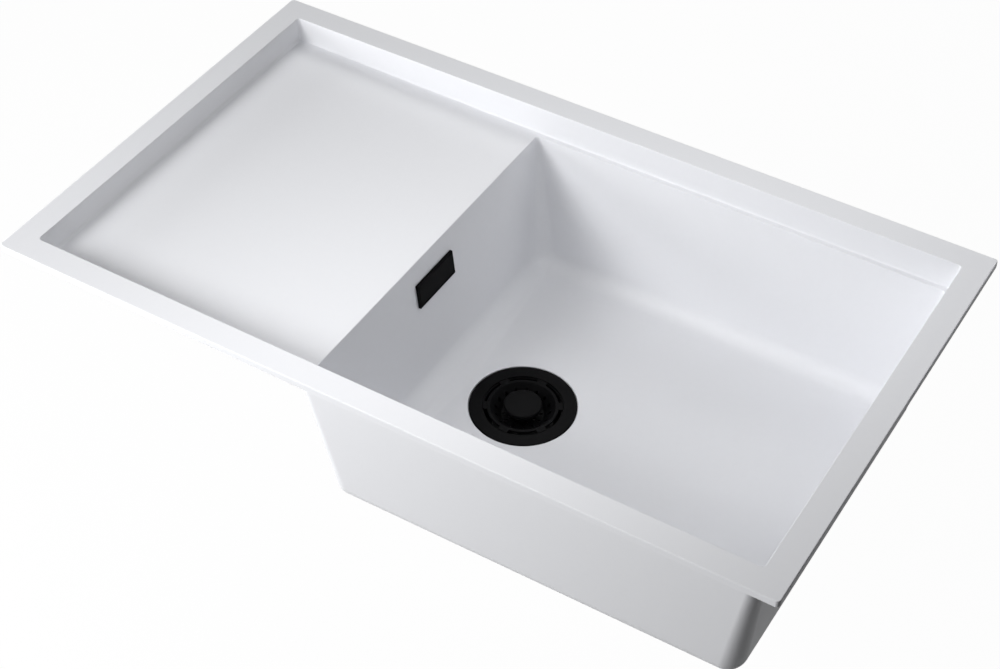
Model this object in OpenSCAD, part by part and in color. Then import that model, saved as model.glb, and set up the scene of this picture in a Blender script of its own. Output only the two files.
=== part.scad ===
// Inset kitchen sink with a drainboard on the left and one deep bowl on the right.
// Millimetres. The origin is the centre of the rim's underside, where the sink rests on a worktop.
// +X runs from the drainboard to the bowl, +Y to the back, +Z up.

/* [Rim] */
// Length of the rim, left to right
rim_length = 860; // [760:10:1000]
// Depth of the rim, front to back
rim_depth = 500; // [440:5:560]
// Thickness of the rim
rim_t = 8; // [5:0.5:14]
// Width of the flat border round the recess
rim_border = 27.5; // [24:0.5:40]
// Radius of the rim's outer corners
rim_corner_r = 4; // [2:0.5:12]

/* [Drainboard] */
// Depth of the recess below the top of the rim, at the divide
recess_depth = 32; // [24:1:50]
// Draft of the recess walls, in degrees
recess_draft = 3.6; // [1:0.2:8]
// Radius of the recess's corners, seen from above
recess_corner_r = 4; // [2:0.5:10]
// Length of the drainboard, from the recess edge to the divide
board_length = 322; // [220:2:380]
// Fall of the drainboard towards the bowl
board_fall = 4; // [1:0.5:8]
// Radius between the recess's left wall and the drainboard
cove_r = 4; // [2:0.5:20]
// Thickness under the drainboard, at the divide
board_t = 7.5; // [5:0.5:14]
// Thickness of the recess walls
tray_wall = 6; // [4:0.5:10]
// Bevel along the bottom edge of the recess walls
tray_bevel = 7; // [2:0.5:9]

/* [Bowl] */
// Width of the ledge round the bowl's mouth
ledge_w = 6; // [3:0.5:15]
// Depth of the bowl below the ledge, at its walls
bowl_depth = 159; // [120:1:190]
// Draft of the bowl's walls, in degrees
bowl_draft = 6.2; // [2:0.2:9]
// Radius of the bowl's corners at its mouth
bowl_corner_r = 5; // [3:0.5:20]
// Radius between the bowl's walls and its floor
bowl_floor_r = 20; // [10:1:35]
// Thickness of the bowl's walls and floor
wall_t = 9; // [6:0.5:14]
// Radius of the bowl's outer corners, just under the ledge
outer_corner_r = 13; // [8:1:26]
// Radius of the bowl's outer bottom edge
outer_floor_r = 21; // [10:1:30]
// Fall of the bowl's floor towards the waste
floor_fall = 6; // [2:0.5:10]

/* [Waste] */
// Distance from the divide to the centre of the waste
drain_from_divide = 115.5; // [100:0.5:150]
// Place of the waste's centre, front to back
drain_y = -5; // [-40:0.5:40]
// Radius of the hole in the bowl's floor
drain_hole_r = 45; // [44:0.5:47]
// Radius of the waste's flange
flange_r = 57.5; // [56:0.5:65]
// Thickness of the waste's flange
flange_t = 2.2; // [1.6:0.1:4]
// Depth of the seat that the flange lies in
flange_seat = 3; // [2:0.1:4]
// Thickness of the gasket under the flange
flange_gasket_t = 1; // [0.5:0.1:2]
// Outer radius of the dish that holds the strainer
dish_r = 43.5; // [42:0.25:43.75]
// Wall of the dish
dish_wall = 2; // [1.2:0.1:2.4]
// Depth of the dish, from the flange's top to the top of its floor
dish_depth = 31.2; // [28:0.2:40]
// Thickness of the dish's floor
dish_floor_t = 2.5; // [1.6:0.1:4]
// Radius of the cup under the bowl, inside
cup_bore_r = 46.5; // [45:0.5:50]
// Wall of the cup
cup_wall = 3.5; // [2.5:0.5:5]
// Depth of the cup, from the bowl gasket to the funnel
cup_depth = 48; // [46:1:70]
// Thickness of the gasket between the bowl and the cup
bowl_gasket_t = 4; // [2:0.5:6]
// Outer radius of the outlet's thread, G 1 1/2
outlet_r = 23.9; // [20:0.1:30]
// Radius of the outlet's bore
outlet_bore_r = 19.5; // [15:0.5:21]
// Length of the outlet below the funnel
outlet_length = 26; // [18:1:50]

/* [Strainer] */
// Radius of the strainer's rim
basket_r = 38.2; // [34:0.2:39.5]
// Depth of the strainer, from its rim to its floor
basket_depth = 13; // [8:0.5:16]
// Wall of the strainer
basket_wall = 1.8; // [1:0.1:3]
// Number of tabs that the strainer hangs by
tab_count = 6; // [4:1:8]
// Width of each tab
tab_w = 11; // [6:0.5:14]
// Radius of the knob
knob_r = 20.5; // [14:0.5:24]
// Height of the knob
knob_h = 6.4; // [4:0.2:9]
// Radius of the rubber seal
seal_r = 33; // [31:0.5:38]
// Thickness of the rubber seal
seal_t = 3.4; // [2.4:0.2:5]

/* [Overflow] */
// Width of the overflow's frame
frame_w = 66; // [58:1:80]
// Height of the overflow's frame
frame_h = 29.5; // [26:0.5:34]
// How far the frame stands proud of the wall
frame_proud = 3.2; // [2.6:0.1:5]
// Width of the border that shows round the cover
frame_border = 1.6; // [1:0.1:3]
// Depth of the overflow's centre below the ledge, straight down
overflow_drop = 40.6; // [34:0.2:70]
// Place of the overflow's centre, front to back
overflow_y = 0; // [-40:1:40]
// Width of the slot through the wall
slot_w = 58; // [54:1:62]
// Height of the slot through the wall
slot_h = 19; // [17:0.5:22]
// Depth of the housing behind the wall
housing_depth = 40; // [38:1:60]

/* [Hose] */
// Outer radius of the hose's ribs
hose_r = 12.5; // [11:0.5:12.5]
// Radius of the hose's bore
hose_bore_r = 9.5; // [7:0.5:9.5]
// Length of one rib
rib_pitch = 4; // [3:0.5:8]
// Radius of the hose's bend
hose_bend_r = 45; // [40:1:46]
// Outer radius of the threads that the hose's nuts turn on
collar_r = 16; // [15.5:0.5:18]
// Length of those threads
collar_length = 14; // [12:1:20]

/* [Hidden] */

// Facets of true round surfaces, and of the corners that are blended into a shell
round_fn = 96;
blend_fn = 32;
// Overrun of every cut, and thickness of the slabs between which a shell is blended
overrun = 1;
slab = 1;
// Gap between a moulded piece and the cast surface it is drawn against
seat_gap = 0.15;
// Radial gap of a thread, and of a peg in its socket
thread_gap = 0.05;
peg_gap = 0.25;

// Levels, from the rim down
z_top = rim_t;
z_ledge = rim_t - recess_depth;
z_tray = z_ledge - board_t;
z_floor = z_ledge - bowl_depth;
z_drain = z_floor - floor_fall;
z_seat = z_drain - flange_seat;
z_under = z_drain - wall_t;

// Edge of the recess at the rim's top, as half sizes
recess_x = rim_length / 2 - rim_border;
recess_y = rim_depth / 2 - rim_border;
function recess_inset(z) = (z_top - z) * tan(recess_draft);

// Mouth of the bowl at the ledge
divide_x = board_length - recess_x;
mouth_x = recess_x - recess_inset(z_ledge) - ledge_w;
mouth_y = recess_y - recess_inset(z_ledge) - ledge_w;
function bowl_inset(z) = (z_ledge - z) * tan(bowl_draft);

// Slope of the drainboard and centre of its cove
board_slope = atan(board_fall / board_length);
cove_run = z_top - z_ledge - divide_x * tan(board_slope) - cove_r / cos(board_slope);
cove_x = (cove_run * tan(recess_draft) - recess_x + cove_r / cos(recess_draft))
    / (1 - tan(board_slope) * tan(recess_draft));
cove_z = z_ledge + (divide_x - cove_x) * tan(board_slope) + cove_r / cos(board_slope);

// Axis of the waste
drain_x = divide_x + drain_from_divide;
// Flat ring of floor left round the flange, and flat pad of the underside round the cup
seat_clearance = 0.8;
floor_ring = 7;
pad_ring = 16;
// Share of the floor's fall by which the underside's left end lies lower than its right end
under_share = 0.83;

// Waste flange and dish
flange_z = z_seat + flange_gasket_t + flange_t;
flange_edge = 0.8;
tab_t = 1.6;
tab_sink = 0.4;
shoulder_depth = tab_t + tab_sink;
shoulder_w = 1.5;
dish_floor_z = flange_z - dish_depth;
dish_bore_r = dish_r - dish_wall;
shoulder_r = dish_bore_r + shoulder_w;
dish_hole_r = 5;
dish_hole_count = 8;
dish_hole_ring_r = 23;
hub_r = 9;
hub_length = 12;
bolt_r = 3;
bolt_head_r = 5.2;
bolt_head_h = 3;
bolt_bore_gap = 0.3;
bolt_drive_w = 1.4;
hub_recess_r = 6.4;
hub_recess_depth = 6.4;

// Cup under the bowl
cup_rim_t = 4;
cup_rim_w = 6;
cup_top_z = z_under - bowl_gasket_t;
funnel_top_z = cup_top_z - cup_depth;
funnel_h = 12;
outlet_end_z = funnel_top_z - funnel_h - outlet_length;
boss_r = 8.5;
boss_gap = 0.6;
boss_top_z = dish_floor_z - dish_floor_t - hub_length - boss_gap;
boss_h = 16;
spider_count = 4;
spider_t = 3;
insert_r = 4.8;
insert_h = 10;
bolt_end_gap = 2;

// Strainer
strainer_z = flange_z - tab_sink;
rim_flat_w = 3.4;
strainer_floor_r = 24;
strainer_floor_z = strainer_z - basket_depth;
strainer_boss_r = 7;
tab_gap = 0.3;
tab_r = shoulder_r - tab_gap;
tab_root = 3;
strainer_hole_r = 1.9;
hole_ring_shares = [0.37, 0.52, 0.75];
hole_first_ring = 8;
hole_ring_step = 4;
knob_proud = 3.1;
knob_z = flange_z + knob_proud;
knob_edge_r = 1.8;
knob_socket_depth = 3.2;
post_r = 3.5;
post_gap = 0.08;
post_collar_r = 7;
post_collar_t = 1.6;
seal_collar_r = 10;
seal_collar_t = 2;
seal_gap = 0.35;
seal_lip = 1;
seal_z = dish_floor_z + seal_gap;
clip_r = 5.2;
clip_t = 0.9;
clip_groove = 0.8;
post_tip = 1.2;

// Overflow, in a frame that lies on the bowl's left wall with +X out of the wall
overflow_z = z_ledge - overflow_drop;
overflow_x = divide_x + bowl_inset(overflow_z);
wall_normal_t = wall_t * cos(bowl_draft);
frame_corner_r = 2;
plate_corner_r = 0.6;
frame_floor_t = 1.5;
cover_gap = 0.7;
cover_t = 1.3;
cover_sink = 0.1;
collar_gap = 0.8;
collar_wall = 1.5;
frame_collar_depth = 6;
window_w = 24;
window_h = 13;
peg_y = 15.5;
peg_r = 1.6;
peg_length = 6;
screw_y = 23.5;
screw_r = 2.5;
screw_head_r = 4.4;
screw_head_h = 2.4;
screw_gap = 0.3;
screw_post_r = 5.4;
screw_reach = 12;
gasket_t = 3;
gasket_land = 4;
housing_plate_t = 3;
housing_wall = 2.5;
housing_z = -wall_normal_t - seat_gap - gasket_t;
housing_h = 25;
housing_w = 60;
housing_boss_r = 5;
nut_clearance = 5.5;
hose_offset = wall_normal_t + gasket_t + housing_plate_t + collar_r + nut_clearance;
port_bore_r = 8.5;
hose_fit = 0.3;
cuff_step = 0.3;
hose_cuff_r = hose_r - cuff_step;
hose_insert = 10;
hose_stop = 2;
nut_wall = 3.4;
nut_grip_r = 1.6;
nut_grip_count = 12;
nut_end_t = 3;
nut_gap = 0.3;
washer_h = 4;
washer_taper = 1;
inlet_drop = 26;
inlet_reach = 12;
inlet_z = cup_top_z - inlet_drop;

// Rounded rectangle between two corners
module rounded(x0, y0, x1, y1, r) {
    translate([x0 + r, y0])
        square([x1 - x0 - 2 * r, y1 - y0]);
    translate([x0, y0 + r])
        square([x1 - x0, y1 - y0 - 2 * r]);
    for (x = [x0 + r, x1 - r], y = [y0 + r, y1 - r])
        translate([x, y])
            circle(r, $fn = round_fn);
}

// Four upright round corners, from height z up to z + slab
module corner_posts(x0, y0, x1, y1, r, z) {
    for (x = [x0 + r, x1 - r], y = [y0 + r, y1 - r])
        translate([x, y, z])
            cylinder(r = r, h = slab, $fn = blend_fn);
}

// Four balls whose sides touch the drafted walls of a bowl and whose undersides touch its floor
module corner_balls(x0, y0, x1, y1, r, z_left, z_right) {
    left = bowl_inset(z_left + r) + r / cos(bowl_draft);
    right = bowl_inset(z_right + r) + r / cos(bowl_draft);
    for (y = [y0 + left, y1 - left])
        translate([x0 + left, y, z_left + r])
            sphere(r = r, $fn = blend_fn);
    for (y = [y0 + right, y1 - right])
        translate([x1 - right, y, z_right + r])
            sphere(r = r, $fn = blend_fn);
}

// Rounded plate in the frame of the wall, between two distances from the wall
module wall_plate(w, h, r, from, to) {
    translate([from, 0, 0])
        rotate([90, 0, 90])
            linear_extrude(to - from)
                rounded(-w / 2, -h / 2, w / 2, h / 2, r);
}

// Round rod in the frame of the wall, along the wall's normal
module wall_rod(y, r, from, to) {
    translate([from, y, 0])
        rotate([0, 90, 0])
            cylinder(r = r, h = to - from, $fn = round_fn);
}

module at_wall() {
    translate([overflow_x, overflow_y, overflow_z])
        rotate([0, -bowl_draft, 0])
            children();
}

module at_drain() {
    translate([drain_x, drain_y, 0])
        children();
}

module ring(outer, inner, z, h) {
    translate([0, 0, z])
        difference() {
            cylinder(r = outer, h = h, $fn = round_fn);
            translate([0, 0, -overrun])
                cylinder(r = inner, h = h + 2 * overrun, $fn = round_fn);
        }
}

// Outside of the recess's walls and of the drainboard
module tray_shell() {
    top = z_top / 2;
    x_top = recess_x - recess_inset(top) + tray_wall;
    y_top = recess_y - recess_inset(top) + tray_wall;
    x_low = recess_x - recess_inset(z_ledge) + tray_wall;
    y_low = recess_y - recess_inset(z_ledge) + tray_wall;
    r = recess_corner_r + tray_wall;
    bevel_z = z_tray + tray_bevel;
    hull() {
        corner_posts(-x_top, -y_top, x_top, y_top, r, top - slab);
        corner_posts(-x_low, -y_low, x_low, y_low, r, bevel_z);
        corner_posts(
            -x_low + tray_bevel, -y_low + tray_bevel, x_low - tray_bevel, y_low - tray_bevel,
            r - tray_bevel / 2, z_tray);
    }
}

// Outside of the bowl. Like the floor inside, its underside falls towards the waste, so its left end is low.
module bowl_shell() {
    top = z_ledge - board_t / 2;
    inset = bowl_inset(top);
    under = z_floor - wall_t;
    hull() {
        corner_posts(
            divide_x - wall_t + inset, -mouth_y - wall_t + inset,
            mouth_x + wall_t - inset, mouth_y + wall_t - inset, outer_corner_r, top - slab);
        corner_balls(
            divide_x - wall_t, -mouth_y - wall_t,
            mouth_x + wall_t, mouth_y + wall_t, outer_floor_r, under - floor_fall * under_share, under);
        at_drain()
            translate([0, 0, z_under])
                cylinder(r = flange_r + pad_ring, h = slab, $fn = blend_fn);
    }
}

// Space of the recess: drafted walls all round, and a sloping floor, coved where it meets the left wall
module recess_space() {
    low = z_ledge - overrun;
    x_low = recess_x - recess_inset(low);
    y_low = recess_y - recess_inset(low);
    steps = 12;
    from = 180 + recess_draft;
    to = 270 - board_slope;
    cove = [
        for (i = [0 : steps])
            let (a = from + (to - from) * i / steps)
                [cove_x + cove_r * cos(a), cove_z + cove_r * sin(a)]
    ];
    outline = concat(
        [[-rim_length / 2, z_top + 2 * overrun], [-rim_length / 2, cove[0][1]]],
        cove,
        [[divide_x, z_ledge], [rim_length / 2, z_ledge], [rim_length / 2, z_top + 2 * overrun]]);
    intersection() {
        hull() {
            corner_posts(-recess_x, -recess_y, recess_x, recess_y, recess_corner_r, z_top);
            corner_posts(-x_low, -y_low, x_low, y_low, recess_corner_r, low - slab);
        }
        rotate([90, 0, 0])
            linear_extrude(rim_depth, center = true)
                polygon(outline);
    }
}

// Space of the bowl, with a floor that falls to the waste
module bowl_space() {
    hull() {
        corner_posts(divide_x, -mouth_y, mouth_x, mouth_y, bowl_corner_r, z_ledge);
        corner_balls(divide_x, -mouth_y, mouth_x, mouth_y, bowl_floor_r, z_floor, z_floor);
        at_drain()
            translate([0, 0, z_drain])
                cylinder(r = flange_r + floor_ring, h = slab, $fn = blend_fn);
    }
}

module basin() {
    color("whitesmoke")
        difference() {
            union() {
                linear_extrude(rim_t)
                    rounded(-rim_length / 2, -rim_depth / 2, rim_length / 2, rim_depth / 2, rim_corner_r);
                tray_shell();
                bowl_shell();
            }
            recess_space();
            bowl_space();
            at_drain() {
                translate([0, 0, z_seat])
                    cylinder(r = flange_r + seat_clearance, h = flange_seat + overrun, $fn = round_fn);
                translate([0, 0, z_under - overrun])
                    cylinder(r = drain_hole_r, h = wall_t + 2 * overrun, $fn = round_fn);
            }
            at_wall()
                wall_plate(slot_w, slot_h, frame_corner_r, -wall_t - overrun, overrun);
        }
}

module flange_gasket() {
    color("dimgray")
        at_drain()
            ring(flange_r - flange_edge, drain_hole_r, z_seat, flange_gasket_t);
}

module waste_flange() {
    color([0.09, 0.09, 0.1])
        at_drain()
            difference() {
                union() {
                    rotate_extrude($fn = round_fn)
                        polygon([
                            [0, flange_z - flange_t],
                            [flange_r, flange_z - flange_t],
                            [flange_r, flange_z - flange_edge],
                            [flange_r - flange_edge, flange_z],
                            [0, flange_z]
                        ]);
                    translate([0, 0, dish_floor_z - dish_floor_t])
                        cylinder(r = dish_r, h = dish_depth + dish_floor_t - flange_t / 2, $fn = round_fn);
                    translate([0, 0, dish_floor_z - dish_floor_t - hub_length])
                        cylinder(r = hub_r, h = hub_length + dish_floor_t, $fn = round_fn);
                }
                translate([0, 0, dish_floor_z])
                    cylinder(r = dish_bore_r, h = dish_depth + overrun, $fn = round_fn);
                translate([0, 0, flange_z - shoulder_depth])
                    cylinder(r = shoulder_r, h = shoulder_depth + overrun, $fn = round_fn);
                for (i = [0 : dish_hole_count - 1])
                    rotate([0, 0, 360 * i / dish_hole_count])
                        translate([dish_hole_ring_r, 0, dish_floor_z - dish_floor_t - overrun])
                            cylinder(r = dish_hole_r, h = dish_floor_t + 2 * overrun, $fn = round_fn);
                translate([0, 0, dish_floor_z - hub_recess_depth])
                    cylinder(r = hub_recess_r, h = hub_recess_depth + overrun, $fn = round_fn);
                translate([0, 0, dish_floor_z - dish_floor_t - hub_length - overrun])
                    cylinder(
                        r = bolt_r + bolt_bore_gap,
                        h = hub_length + dish_floor_t + overrun, $fn = round_fn);
            }
}

module bowl_gasket() {
    color("dimgray")
        at_drain()
            ring(cup_bore_r + cup_wall + cup_rim_w, cup_bore_r, cup_top_z, bowl_gasket_t);
}

// Threaded collar with a seat for the end of the hose, along +Z from its root
module collar_solid(root) {
    translate([0, 0, -root])
        cylinder(r = collar_r, h = collar_length + root, $fn = round_fn);
}

module collar_bore(root) {
    translate([0, 0, collar_length - hose_insert - hose_stop])
        cylinder(r = hose_cuff_r + hose_fit, h = hose_insert + hose_stop + overrun, $fn = round_fn);
    translate([0, 0, -root])
        cylinder(r = port_bore_r, h = collar_length + root, $fn = round_fn);
}

// Places +Z along the overflow inlet of the cup, which points to the left, with 0 at the collar's root
module at_inlet() {
    at_drain()
        translate([-cup_bore_r - cup_wall - inlet_reach, 0, inlet_z])
            rotate([0, -90, 0])
                children();
}

// Places +Z down the overflow's hose, with 0 at the collar's root
module at_outlet() {
    at_wall()
        translate([-hose_offset, 0, -housing_h / 2])
            rotate([180, 0, 0])
                children();
}

// Room inside the cup and its outlet
module cup_room() {
    funnel_low = funnel_top_z - funnel_h;
    rotate_extrude($fn = round_fn)
        polygon([
            [0, outlet_end_z - overrun], [outlet_bore_r, outlet_end_z - overrun],
            [outlet_bore_r, funnel_low], [cup_bore_r, funnel_top_z],
            [cup_bore_r, cup_top_z + overrun], [0, cup_top_z + overrun]
        ]);
}

module waste_cup() {
    cup_r = cup_bore_r + cup_wall;
    flange_low = cup_top_z - cup_rim_t;
    inlet_root = inlet_reach + cup_r - sqrt(pow(cup_bore_r, 2) - pow(collar_r, 2));
    color([0.12, 0.12, 0.13])
        difference() {
            union() {
                at_drain()
                    rotate_extrude($fn = round_fn)
                        polygon([
                            [0, funnel_top_z], [cup_r, funnel_top_z], [cup_r, flange_low],
                            [cup_r + cup_rim_w, flange_low], [cup_r + cup_rim_w, cup_top_z],
                            [0, cup_top_z]
                        ]);
                at_inlet()
                    collar_solid(inlet_root);
            }
            at_drain()
                cup_room();
            at_inlet()
                collar_bore(inlet_root + overrun);
        }
}

// Funnel with the threaded outlet: moulded on the cup, and a node of its own so that each is a simple form
module outlet_funnel() {
    funnel_low = funnel_top_z - funnel_h;
    color([0.12, 0.12, 0.13])
        at_drain()
            rotate_extrude($fn = round_fn)
                polygon([
                    [outlet_bore_r, outlet_end_z], [outlet_r, outlet_end_z], [outlet_r, funnel_low],
                    [cup_bore_r + cup_wall, funnel_top_z], [cup_bore_r, funnel_top_z],
                    [outlet_bore_r, funnel_low]
                ]);
}

// Boss for the centre bolt on its arms: moulded in the cup too
module cup_cross() {
    color([0.12, 0.12, 0.13])
        at_drain()
            difference() {
                intersection() {
                    union() {
                        translate([0, 0, boss_top_z - boss_h])
                            cylinder(r = boss_r, h = boss_h, $fn = round_fn);
                        for (i = [0 : spider_count - 1])
                            rotate([0, 0, 360 * (i + 0.5) / spider_count])
                                translate([boss_r / 2, -spider_t / 2, boss_top_z - boss_h])
                                    cube([cup_bore_r, spider_t, boss_h]);
                    }
                    cup_room();
                }
                translate([0, 0, boss_top_z - boss_h - overrun])
                    cylinder(r = bolt_r + bolt_bore_gap, h = boss_h + 2 * overrun, $fn = round_fn);
                translate([0, 0, boss_top_z - insert_h])
                    cylinder(r = insert_r + thread_gap, h = insert_h + overrun, $fn = round_fn);
            }
}

module thread_insert() {
    color("goldenrod")
        at_drain()
            ring(insert_r, bolt_r + thread_gap, boss_top_z - insert_h, insert_h);
}

module centre_bolt() {
    head_z = dish_floor_z - hub_recess_depth;
    tip_z = boss_top_z - boss_h + bolt_end_gap;
    color("silver")
        at_drain()
            difference() {
                union() {
                    translate([0, 0, head_z])
                        cylinder(r = bolt_head_r, h = bolt_head_h, $fn = round_fn);
                    translate([0, 0, tip_z])
                        cylinder(r = bolt_r, h = head_z - tip_z + bolt_head_h / 2, $fn = round_fn);
                }
                translate([-bolt_head_r - overrun, -bolt_drive_w / 2, head_z + bolt_head_h / 2])
                    cube([2 * (bolt_head_r + overrun), bolt_drive_w, bolt_head_h]);
            }
}

module strainer_basket() {
    color([0.07, 0.07, 0.08])
        at_drain()
            difference() {
                union() {
                    rotate_extrude($fn = round_fn)
                        polygon([
                            [0, strainer_floor_z - basket_wall],
                            [strainer_floor_r, strainer_floor_z - basket_wall],
                            [basket_r - rim_flat_w + basket_wall / 2, strainer_z - basket_wall],
                            [basket_r, strainer_z - basket_wall],
                            [basket_r, strainer_z],
                            [basket_r - rim_flat_w, strainer_z],
                            [strainer_floor_r - basket_wall / 2, strainer_floor_z],
                            [0, strainer_floor_z]
                        ]);
                    intersection() {
                        translate([0, 0, strainer_z - tab_t])
                            cylinder(r = tab_r, h = tab_t, $fn = round_fn);
                        for (i = [0 : tab_count - 1])
                            rotate([0, 0, 360 * (i + 0.5) / tab_count])
                                translate([basket_r - tab_root, -tab_w / 2, strainer_z - tab_t])
                                    cube([tab_r, tab_w, tab_t]);
                    }
                    translate([0, 0, strainer_floor_z - basket_wall])
                        cylinder(
                            r = strainer_boss_r,
                            h = knob_z - knob_h - strainer_floor_z + basket_wall, $fn = round_fn);
                }
                translate([0, 0, strainer_floor_z - basket_wall - overrun])
                    cylinder(r = post_r + post_gap, h = basket_depth + knob_h, $fn = round_fn);
                for (row = [0 : len(hole_ring_shares) - 1])
                    let (holes = hole_first_ring + hole_ring_step * row)
                        for (i = [0 : holes - 1])
                            rotate([0, 0, 360 * i / holes])
                                translate([
                                    basket_r * hole_ring_shares[row], 0,
                                    strainer_floor_z - basket_wall - overrun])
                                    cylinder(r = strainer_hole_r, h = basket_depth, $fn = round_fn);
            }
}

module strainer_post() {
    tip_z = seal_z - clip_t - post_tip;
    top_z = knob_z - knob_h + knob_socket_depth;
    collar_z = strainer_floor_z - basket_wall - post_collar_t;
    color([0.2, 0.2, 0.21])
        at_drain()
            difference() {
                union() {
                    translate([0, 0, tip_z])
                        cylinder(r = post_r, h = top_z - tip_z, $fn = round_fn);
                    translate([0, 0, collar_z])
                        cylinder(r = post_collar_r, h = post_collar_t, $fn = round_fn);
                    translate([0, 0, seal_z + seal_t])
                        cylinder(r = seal_collar_r, h = seal_collar_t, $fn = round_fn);
                }
                ring(post_r + overrun, post_r - clip_groove, seal_z - clip_t, clip_t);
            }
}

module strainer_knob() {
    steps = 6;
    corner_r = knob_r - knob_edge_r;
    edge = [
        for (i = [0 : steps])
            let (a = 90 * i / steps)
                [corner_r + knob_edge_r * cos(a), knob_z - knob_edge_r + knob_edge_r * sin(a)]
    ];
    color([0.1, 0.1, 0.11])
        at_drain()
            difference() {
                rotate_extrude($fn = round_fn)
                    polygon(concat([[0, knob_z - knob_h], [corner_r, knob_z - knob_h]], edge, [[0, knob_z]]));
                translate([0, 0, knob_z - knob_h - overrun])
                    cylinder(
                        r = post_r + thread_gap,
                        h = knob_socket_depth + thread_gap + overrun, $fn = round_fn);
            }
}

module strainer_seal() {
    color([0.05, 0.05, 0.05])
        at_drain()
            rotate_extrude($fn = round_fn)
                polygon([
                    [post_r + thread_gap, seal_z],
                    [seal_r, seal_z],
                    [seal_r, seal_z + seal_lip],
                    [seal_r - seal_lip, seal_z + seal_t],
                    [post_r + thread_gap, seal_z + seal_t]
                ]);
}

module post_clip() {
    color("silver")
        at_drain()
            difference() {
                ring(clip_r, post_r - clip_groove + thread_gap, seal_z - clip_t, clip_t);
                translate([0, -post_r / 2, seal_z - clip_t - overrun])
                    cube([clip_r + overrun, post_r, clip_t + 2 * overrun]);
            }
}

module overflow_cover() {
    w = frame_w - 2 * (frame_border + cover_gap);
    h = frame_h - 2 * (frame_border + cover_gap);
    front = frame_proud - cover_sink;
    color([0.08, 0.08, 0.09])
        at_wall() {
            wall_plate(w, h, plate_corner_r / 2, front - cover_t, front);
            for (y = [-peg_y, peg_y])
                wall_rod(y, peg_r, front - cover_t / 2 - peg_length, front - cover_t / 2);
        }
}

module overflow_frame() {
    floor_x = seat_gap + frame_floor_t;
    collar_w = slot_w - 2 * collar_gap;
    collar_h = slot_h - 2 * collar_gap;
    color([0.11, 0.11, 0.12])
        at_wall()
            difference() {
                union() {
                    wall_plate(frame_w, frame_h, plate_corner_r, seat_gap, frame_proud);
                    difference() {
                        wall_plate(collar_w, collar_h, frame_corner_r, -frame_collar_depth, floor_x);
                        wall_plate(
                            collar_w - 2 * collar_wall, collar_h - 2 * collar_wall, frame_corner_r / 2,
                            -frame_collar_depth - overrun, seat_gap);
                    }
                    for (y = [-screw_y, screw_y])
                        wall_rod(y, screw_post_r, -frame_collar_depth, floor_x);
                }
                wall_plate(
                    frame_w - 2 * frame_border, frame_h - 2 * frame_border, plate_corner_r / 2,
                    floor_x, frame_proud + overrun);
                wall_plate(
                    window_w, window_h, frame_corner_r, -frame_collar_depth - overrun, floor_x + overrun);
                for (y = [-peg_y, peg_y])
                    wall_rod(y, peg_r + peg_gap, -frame_collar_depth - overrun, floor_x + overrun);
                for (y = [-screw_y, screw_y]) {
                    wall_rod(y, screw_r + screw_gap, -frame_collar_depth - overrun, floor_x + overrun);
                    wall_rod(y, screw_head_r + screw_gap, floor_x - screw_head_h, floor_x + overrun);
                }
            }
}

module overflow_screws() {
    head_x = seat_gap + frame_floor_t;
    tip_x = housing_z - housing_plate_t - screw_reach;
    color("silver")
        at_wall()
            for (y = [-screw_y, screw_y])
                difference() {
                    union() {
                        wall_rod(y, screw_head_r, head_x - screw_head_h, head_x);
                        wall_rod(y, screw_r, tip_x, head_x - screw_head_h / 2);
                    }
                    translate([head_x - screw_head_h / 2, y - screw_head_r - overrun, -bolt_drive_w / 2])
                        cube([screw_head_h, 2 * (screw_head_r + overrun), bolt_drive_w]);
                }
}

module overflow_gasket() {
    color("dimgray")
        at_wall()
            difference() {
                wall_plate(
                    slot_w + 2 * gasket_land, slot_h + 2 * gasket_land, frame_corner_r + gasket_land,
                    housing_z, housing_z + gasket_t);
                wall_plate(
                    slot_w, slot_h, frame_corner_r, housing_z - overrun, housing_z + gasket_t + overrun);
            }
}

module overflow_housing() {
    back = housing_z - housing_depth;
    inner_w = housing_w - 2 * housing_wall;
    inner_h = housing_h - 2 * housing_wall;
    plate_back = housing_z - housing_plate_t;
    color([0.12, 0.12, 0.13]) {
        difference() {
            union() {
                at_wall() {
                    wall_plate(
                        slot_w + 2 * gasket_land, slot_h + 2 * gasket_land, frame_corner_r + gasket_land,
                        plate_back, housing_z);
                    wall_plate(housing_w, housing_h, frame_corner_r, back, plate_back + housing_plate_t / 2);
                }
                at_outlet()
                    collar_solid(housing_wall);
            }
            at_wall() {
                wall_plate(
                    inner_w, inner_h, frame_corner_r / 2, back + housing_wall, plate_back);
                wall_plate(
                    slot_w - 2 * housing_wall, slot_h - 2 * housing_wall, frame_corner_r / 2,
                    plate_back - overrun, housing_z + overrun);
            }
            at_outlet()
                collar_bore(housing_wall + overrun);
        }
        at_wall()
            difference() {
                for (y = [-screw_y, screw_y])
                    wall_rod(y, housing_boss_r, back + housing_wall / 2, housing_z);
                for (y = [-screw_y, screw_y])
                    wall_rod(y, screw_r + thread_gap, back + housing_wall, housing_z + overrun);
            }
    }
}

// Nut with a shoulder, a plain bore over the thread and gripping ribs, for either end of the hose
module hose_nut() {
    outer = collar_r + thread_gap + nut_wall;
    length = collar_length / 2 + washer_h + nut_gap + nut_end_t;
    translate([0, 0, collar_length / 2])
        difference() {
            union() {
                cylinder(r = outer, h = length, $fn = round_fn);
                for (i = [0 : nut_grip_count - 1])
                    rotate([0, 0, 360 * i / nut_grip_count])
                        translate([outer, 0, 0])
                            cylinder(r = nut_grip_r, h = length - nut_end_t / 2, $fn = round_fn);
            }
            translate([0, 0, -overrun])
                cylinder(r = collar_r + thread_gap, h = length - nut_end_t + overrun, $fn = round_fn);
            translate([0, 0, -overrun])
                cylinder(r = hose_cuff_r + hose_fit, h = length + 2 * overrun, $fn = round_fn);
        }
}

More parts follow.
